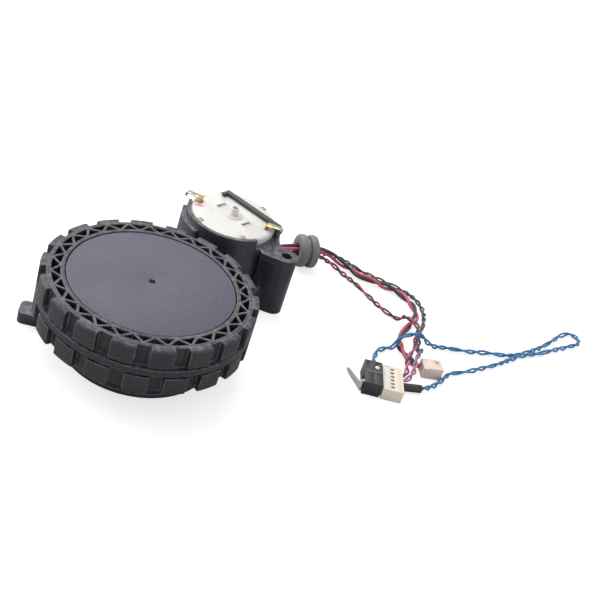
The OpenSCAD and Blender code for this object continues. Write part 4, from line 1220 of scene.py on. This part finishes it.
@dataclass
class Motor:
    """The round motor in its cradle, with its white end cap."""

    at: Flat = (22.7028, 55.6038)
    radius: float = 16.0
    cap_z: float = 27.0
    cap_t: float = 2.6
    boss_r: float = 1.5
    boss_h: float = 3.1
    slot_r: float = 6.0
    slot_l: float = 4.4
    slot_w: float = 1.3
    slot_angles: Sequence[float] = (-41.0, 139.0)
    tag_angles: Sequence[float] = (-15.0, 165.0)
    crimp_angles: Sequence[float] = (-141.0, -72.0, 43.0, 110.0)

    def turned(self, piece: Thing, degrees: float) -> Thing:
        """Moves a piece made on the frame's origin to the motor, turned to its angle."""
        return Bench.shift(Bench.turn(piece, degrees, Vector((0, 0, 0))), mm(*self.at, 0))

    def cap(self) -> Thing:
        """Makes the end cap: a chamfered disc with slots in raised frames."""
        r, low, top = self.radius, self.cap_z - self.cap_t, self.cap_z
        disc = Bench.revolve("cap_disc", [
            (1.2, low + 1.0), (r - 1.6, low + 1.0), (r - 1.6, low), (r - 0.2, low), (r, low + 0.2),
            (r, top - 0.85), (r - 0.1, top - 0.6), (r - 0.62, top - 0.12), (r - 0.95, top), (1.2, top)],
            self.at, 160)
        holes = []
        for angle in self.slot_angles:
            far, half = self.slot_r + self.slot_w, self.slot_l / 2
            edge = Bench.block("slot_frame", (self.slot_r - 0.35, -half - 0.35, top - 0.3),
                               (far + 0.35, half + 0.35, top + 0.22))
            Bench.cut(disc, [self.turned(Bench.soften(edge, 0.2, 2), angle)], "UNION")
            holes.append(self.turned(Bench.block("slot", (self.slot_r, -half, top - 1.2), (far, half, top + 1)), angle))
        for angle in self.tag_angles:
            holes.append(self.turned(Bench.block("tag_hole", (r - 3.5, -1.5, low - 1), (r - 2.3, 1.5, top + 1)), angle))
        for angle in self.crimp_angles:
            holes.append(self.turned(Bench.block("crimp_notch", (r - 2.2, -1.15, top - 0.9), (r + 1, 1.15, top + 1)), angle))
        Bench.cut(disc, holes)
        return Bench.soften(disc, 0.1, 2, 50)

    def shadowed_step(self) -> Thing:
        """Makes the cap's low round step."""
        top, step = self.cap_z, self.boss_r + 2.1
        return Bench.revolve("cap_step", [
            (self.boss_r - 0.2, top - 0.4), (step, top - 0.4), (step, top + 0.12), (step - 0.3, top + 0.32),
            (self.boss_r + 0.9, top + 0.4), (self.boss_r - 0.2, top + 0.4)], self.at, 72)

    def boss(self) -> Thing:
        """Makes the cap's bearing boss with its open end."""
        top, tip, r = self.cap_z, self.cap_z + self.boss_h, self.boss_r
        return Bench.revolve("cap_boss", [
            (1.0, top - 0.2), (r, top - 0.2), (r, tip - 0.4), (r - 0.1, tip - 0.12), (r - 0.3, tip),
            (1.08, tip), (1.0, tip - 0.1)], self.at, 64)

    def shadows(self) -> list[Thing]:
        """Makes black blocks that paint the shade seen inside the boss and the two slots."""
        top = self.cap_z
        end = Bench.revolve("shaft_end", [
            (0.05, top), (0.98, top), (0.98, top + self.boss_h - 0.62), (0.7, top + self.boss_h - 0.45),
            (0.05, top + self.boss_h - 0.45)], self.at, 40)
        made = [end]
        half = self.slot_l / 2
        for angle, low, high in ((self.slot_angles[0], -half + 0.1, half - 1.2), (self.slot_angles[1], -half + 1.2, half - 0.1)):
            shade_block = Bench.block("brush_holder", (self.slot_r + 0.05, low, top - 1.4), (self.slot_r + self.slot_w - 0.05, high, top - 0.25))
            made.append(self.turned(Bench.soften(shade_block, 0.15), angle))
        return made

    def tags(self) -> list[tuple[Thing, Thing]]:
        """Makes the two terminals, brass where they rise and tinned where they curl outwards.

        Returns:
            The brass part and the tinned part of each.
        """
        made = []
        r, z = self.radius - 3.2, self.cap_z
        elbow = [(r, z - 1.2), (r, z + 1.2), (r + 0.1, z + 1.6), (r + 0.45, z + 1.85), (r + 3.3, z + 1.9),
                 (r + 3.3, z + 1.45), (r + 0.8, z + 1.4), (r + 0.6, z + 1.2), (r + 0.6, z - 1.2)]
        outer = [polar(1.0, a, (r + 5.6, z + 1.12)) for a in range(90, -76, -15)]
        inner = [polar(0.58, a, (r + 5.6, z + 1.12)) for a in range(-75, 91, 15)]
        curl = [(r + 2.9, z + 1.98), *outer, *inner, (r + 2.9, z + 1.6)]
        for angle in self.tag_angles:
            post = Bench.slab("terminal_post", [(x, -1.4, h) for x, h in elbow], (0, 2.8, 0))
            tip = Bench.slab("terminal_curl", [(x, -1.15, h) for x, h in curl], (0, 2.3, 0))
            made.append(tuple(self.turned(Bench.soften(p, 0.1, 2, 50), angle) for p in (post, tip)))
        return made

    def crimps(self) -> Thing:
        """Makes the can's four lips that are folded over the cap."""
        top, r = self.cap_z, self.radius
        lips = []
        for angle in self.crimp_angles:
            lip = Bench.block("crimp", (r - 2.3, -1.25, top - 0.88), (r - 0.25, 1.25, top + 0.16))
            lips.append(self.turned(Bench.soften(lip, 0.35, 3), angle))
        return Bench.join("can_crimps", lips)

    def marking(self) -> Thing:
        """Makes the soft red ink dab beside one terminal, and its specks."""
        dabs = []
        spots = ((-13.1, 0.3, 1.9, 0.75), (-11.6, 7.6, 0.45, 0.28), (-10.4, 8.2, 0.3, 0.2), (-12.1, 8.3, 0.22, 0.2))
        for x, y, wide, deep in spots:
            oval = [(x + wide * math.cos(a), y + deep * math.sin(a)) for a in (math.tau * k / 20 for k in range(20))]
            dabs.append(self.turned(Bench.prism("ink_dab", oval, self.cap_z - 0.05, self.cap_z + 0.03), 0.0))
        return Bench.join("ink_marks", dabs)

    def build(self) -> None:
        """Makes the motor's outer pieces and paints the rest."""
        can = Bench.node_copy("motor_can", "plated_can")
        dress(Bench.smooth(can), CAN_STEEL, Body.HOUSING, ["motor_can"])
        dress(Bench.smooth(self.cap(), 32), CAP_WHITE, Body.HOUSING, ["motor_cap"])
        # The low step is painted with the boss's shadow.
        dress(Bench.smooth(self.shadowed_step(), 40), CAP_STEP_SHADOW, Body.HOUSING)
        dress(Bench.smooth(self.boss(), 40), CAP_WHITE, Body.HOUSING)
        # Black blocks painted in as the shade seen inside the boss and the slots.
        dress(Bench.smooth(Bench.join("brush_holders", self.shadows()), 40), HOUSING_BLACK, Body.HOUSING)
        dress(Bench.smooth(self.crimps(), 40), CRIMP_TAN, Body.HOUSING)
        dress(self.marking(), CAP_MARK, Body.HOUSING)
        posts, curls = zip(*self.tags())
        dress(Bench.smooth(Bench.join("terminal_posts", posts), 40), TAG_BRASS, Body.HOUSING, ["motor_terminals"])
        dress(Bench.smooth(Bench.join("terminal_curls", curls), 40), TINNED, Body.HOUSING)
        strap = Bench.soften(Bench.node_copy("motor_strap", "motor_clip"), 0.3, 3)
        dress(Bench.smooth(strap, 40), STRAP_BLACK, Body.HOUSING, ["motor_strap"])
        paint({"motor_screws": STEEL, "motor_bush": BRONZE, "motor_magnet": MAGNET, "motor_rotor": COPPER,
               "motor_shaft": STEEL, "motor_pinion": BRASS})


@dataclass
class Fittings:
    """Grommet, snap switch, plugs and sleeve on the leads."""

    grommet_at: Point = (55.8, 77.5, 6.6)
    grommet_turn: float = 16.0
    grommet_r: float = 6.6
    grommet_l: float = 7.8
    grommet_rim: float = 3.3
    switch_low: Point = (79.65, 4.2, 0.0)
    switch_high: Point = (86.15, 17.0, 5.8)
    switch_step_edge: float = 10.7
    pivot_at: Flat = (78.8, 5.4)
    lever_turn: float = 28.0
    long_low: Point = (86.6, 3.8, 0.0)
    long_high: Point = (94.2, 17.8, 4.8)
    short_at: Flat = (103.0, 21.8)
    short_turn: float = 8.0
    pitch: float = 2.0

    def grommet(self) -> None:
        """Makes the round grommet: two soft rims with a groove between."""
        r, h = self.grommet_r, self.grommet_l / 2
        f = h - self.grommet_rim
        half = [(r - 1.6, f), (r - 0.75, f), (r - 0.3, f + 0.14), (r - 0.06, f + 0.5), (r, f + 1.0), (r, h - 1.35),
                (r - 0.1, h - 0.85), (r - 0.38, h - 0.38), (r - 0.85, h - 0.08), (r - 1.3, h), (3.3, h),
                (3.0, h - 0.12), (2.9, h - 0.4)]
        profile = [*half, *((radius, -z) for radius, z in reversed(half))]
        ring = Bench.revolve("cable_grommet", profile, steps=112)
        Bench.turn(ring, 90, Vector((0, 0, 0)), Axis.Y)
        Bench.turn(ring, self.grommet_turn, Vector((0, 0, 0)))
        Bench.shift(ring, mm(*self.grommet_at))
        dress(Bench.smooth(ring, 40), GROMMET_GREY, Body.HOUSING, ["grommet"])

    def snap_switch(self) -> None:
        """Makes the snap switch's two halves, with a panel and a step on each, and a pale strip painted as the
        highlight along the step's edge.
        """
        (x0, y0, z0), (x1, y1, z1) = self.switch_low, self.switch_high
        middle, step_edge = (x0 + x1) / 2, self.switch_step_edge
        cover = Bench.block("switch_cover", (x0, y0, z0), (middle, y1, z1))
        base = Bench.block("switch_base", (middle + 0.05, y0, z0), (x1, y1, z1))
        slot = Bench.block("plunger_slot", (x0 - 1, step_edge - 1.35, 2.15), (x0 + 2.3, step_edge + 0.25, 3.65))
        Bench.cut(cover, [slot])
        hole_at = (middle + 1.4, (y0 + y1) / 2 + 3.2)
        Bench.cut(base, [Bench.rod("pin_hole", 1.05, -1, 9, hole_at, 32)])
        for half, low, high in ((cover, x0, middle), (base, middle + 0.05, x1)):
            step = Bench.block("near_step", (low - 1, y0 - 1, z1 - 0.25), (high + 1, step_edge - 0.2, z1 + 1))
            panel = Bench.block("far_panel", (low + 0.7, step_edge + 0.8, z1 - 0.25), (high - 0.6, y1 - 0.8, z1 + 1))
            Bench.soften(Bench.cut(half, [step, panel]), 0.14)
        dress(Bench.smooth(cover), SWITCH_BLACK, Body.HOUSING, ["snap_switch_cover"])
        dress(Bench.smooth(base), SWITCH_BLACK, Body.HOUSING, ["snap_switch_base"])
        pin = Bench.soften(Bench.rod("locating_pin", 0.85, 0.5, z1 - 0.12, hole_at, 32), 0.15)
        dress(Bench.smooth(pin, 40), PIN_PALE, Body.HOUSING)
        # A pale strip painted as the highlight along the step's edge.
        line = Bench.block("seam_line", (x0 + 0.35, step_edge - 0.2, z1 - 0.2), (x1 - 0.3, step_edge + 0.12, z1 + 0.03))
        dress(Bench.smooth(Bench.soften(line, 0.05)), SWITCH_EDGE_HIGHLIGHT, Body.HOUSING)

    def lever(self) -> None:
        """Makes the switch's spring lever, rolled round its pin and tapered to its tip."""
        low, high = 1.3, 4.5
        at = Vector(mm(*self.pivot_at, 0))
        roll = Bench.revolve("lever_roll", [(0.44, low), (0.8, low), (0.8, high), (0.44, high)], steps=40)
        edge = [(0.0, low), (7.2, low + 0.25), (9.2, low + 0.9), (9.5, low + 1.3), (9.3, low + 1.75),
                (7.6, high - 0.75), (0.0, high)]
        blade = Bench.slab("lever_blade", [(-y, -0.8, z) for y, z in edge], (0, 0.35, 0))
        Bench.turn(Bench.soften(blade, 0.08), -(90 - self.lever_turn), Vector((0, 0, 0)))
        lever = Bench.shift(Bench.join("switch_lever_strip", [roll, blade]), at)
        dress(Bench.smooth(lever, 40), SPRING_STEEL, Body.LEVER, ["switch_lever"])

    def long_plug(self) -> None:
        """Makes the six-way plug: body, windows with painted shade in them, side panel and key strip."""
        (x0, y0, z0), (x1, y1, z1) = self.long_low, self.long_high
        body = Bench.block("long_body", (x0, y0, z0), (x1, y1, z1))
        cuts = [Bench.block("panel", (x0 + 0.35, y0 + 0.5, z1 - 0.3), (x0 + 2.6, y1 - 0.5, z1 + 1))]
        for i in range(6):
            y = y0 + 2 + i * self.pitch
            cuts.append(Bench.block("window", (x0 + 2.9, y - 0.5, z1 - 1.1), (x0 + 4.3, y + 0.5, z1 + 1)))
            cuts.append(Bench.block("way", (x1 - 4.4, y - 0.7, 1.2), (x1 + 1.5, y + 0.7, 3.2)))
        Bench.soften(Bench.cut(body, cuts), 0.12)
        dress(Bench.smooth(body, 35), PLUG_CREAM, Body.HOUSING, ["plug_long"])
        panel = Bench.block("plug_side_panel", (x0 + 0.5, y0 + 0.65, z1 - 0.45), (x0 + 2.45, y1 - 0.65, z1 - 0.14))
        dress(Bench.smooth(Bench.soften(panel, 0.1)), PLUG_PANEL, Body.HOUSING)
        strip = Bench.block("plug_key_strip", (x1 - 2.3, y0 + 0.6, z1 - 0.4), (x1 - 1.0, y1 - 2.2, z1 + 0.05))
        dress(Bench.smooth(Bench.soften(strip, 0.12)), PLUG_TAN, Body.HOUSING)
        # Black blocks in the windows' bottoms, painted in as the shade inside them.
        dark = [Bench.block("window_floor", (x0 + 2.92, y0 + 1.52 + i * self.pitch, z1 - 1.08),
                            (x0 + 4.28, y0 + 2.48 + i * self.pitch, z1 - 0.4)) for i in range(6)]
        dress(Bench.join("plug_window_floors", [Bench.soften(d, 0.05) for d in dark]), SWITCH_BLACK, Body.HOUSING)

    def short_plug(self) -> None:
        """Makes the two-way plug, turned as it lies."""
        wide = self.pitch + 4
        body = Bench.block("short_body", (0, 0, 0), (7.6, wide, 4.8))
        cuts = [Bench.block("way", (-1, 1.3 + i * self.pitch, 1.4), (5, 2.7 + i * self.pitch, 3.4)) for i in (0, 1)]
        cuts.append(Bench.block("latch", (5.0, 1.0, 4.0), (6.6, wide - 1, 6)))
        cuts.append(Bench.block("shoulder", (-1, -1, 4.5), (1.8, wide + 1, 6)))
        Bench.soften(Bench.cut(body, cuts), 0.14)
        Bench.shift(Bench.turn(body, self.short_turn, Vector((0, 0, 0))), mm(*self.short_at, 0))
        dress(Bench.smooth(body, 35), PLUG_SAND, Body.HOUSING, ["plug_short"])

    def build(self) -> None:
        """Makes the fittings and paints the rest."""
        self.grommet()
        self.snap_switch()
        self.long_plug()
        self.short_plug()
        self.lever()
        paint({"switch_button": BUTTON_DARK, "switch_pivot": STEEL, "switch_legs": TINNED,
                "plug_long_contacts": TINNED, "lead_sleeve": SLEEVE_BLACK})


@dataclass
class Studio:
    """Pale floor, soft lamps and white surroundings."""

    fill: float = 0.55
    floor_shade: float = 0.66
    floor_glow: float = 0.66
    lamps: Sequence[tuple[str, Point, Point, float, float]] = (
        ("top_lamp", (-0.15, 0.4, 0.7), (0.05, 0.03, 0.01), 0.6, 3.9),
        ("side_lamp", (-0.7, 0.3, 0.3), (0.03, 0.05, 0.01), 0.5, 3.2),
        ("front_lamp", (0.35, -0.7, 0.5), (0.05, 0.02, 0.01), 0.5, 0.35),
    )

    def build(self) -> None:
        """Adds the floor, the world and the lamps."""
        self.floor()
        self.world()
        for name, place, target, size, power in self.lamps:
            self.lamp(name, place, target, size, power)
        bpy.context.scene.view_settings.view_transform = "Standard"

    def floor(self) -> None:
        """Lays the floor, which is a little brighter for the camera than for the object."""
        Bench.only()
        bpy.ops.mesh.primitive_plane_add(size=6.0, location=(0, 0, -0.00005))
        plane = Bench.settle(bpy.context.object, "studio_floor")
        made = bpy.data.materials.new("studio_floor")
        made.use_nodes = True
        b = ShaderBench(made.node_tree)
        skin = made.node_tree.nodes["Principled BSDF"]
        skin.inputs["Base Color"].default_value = (self.floor_shade, self.floor_shade, self.floor_shade, 1)
        skin.inputs["Roughness"].default_value = 0.9
        skin.inputs["Specular IOR Level"].default_value = 0.1
        skin.inputs["Emission Color"].default_value = (1, 1, 1, 1)
        ray = b.node("ShaderNodeLightPath")
        b.link(b.math("MULTIPLY", ray.outputs["Is Camera Ray"], self.floor_glow), skin.inputs["Emission Strength"])
        plane.data.materials.append(made)

    def world(self) -> None:
        """Sets a plain fill light, with white for what looks straight at it."""
        world = bpy.data.worlds.new("plain_white")
        bpy.context.scene.world = world
        world.use_nodes = True
        b = ShaderBench(world.node_tree)
        sky = world.node_tree.nodes["Background"]
        sky.inputs["Color"].default_value = (1, 1, 1, 1)
        ray = b.node("ShaderNodeLightPath").outputs
        mirrored = b.math("MAXIMUM", ray["Is Glossy Ray"], ray["Is Transmission Ray"])
        seen = b.math("MAXIMUM", ray["Is Camera Ray"], mirrored)
        b.link(b.span(seen, 0.0, 1.0, self.fill, 1.0), sky.inputs["Strength"])

    def lamp(self, name: str, place: Point, target: Point, size: float, power: float) -> None:
        """Adds one square lamp.

        Args:
            name: the lamp's name.
            place: where it hangs, in metres.
            target: where it points.
            size: its side.
            power: its watts.
        """
        data = bpy.data.lights.new(name, "AREA")
        data.size = size
        data.energy = power
        made = bpy.data.objects.new(name, data)
        bpy.context.scene.collection.objects.link(made)
        made.location = place
        made.rotation_euler = (Vector(target) - Vector(place)).to_track_quat("-Z", "Y").to_euler()


def main() -> None:
    """Builds the camera, the leads, the sub-assemblies and the studio."""
    logging.basicConfig(level=logging.INFO, format="%(message)s")
    Viewpoint().build()
    harness = Harness()
    for part in (harness, Wheel(), Housing(), Motor(), Fittings(), Studio()):
        LOG.info("%s", type(part).__name__)
        part.build()
    harness.declare()


if __name__ == "__main__":
    main()
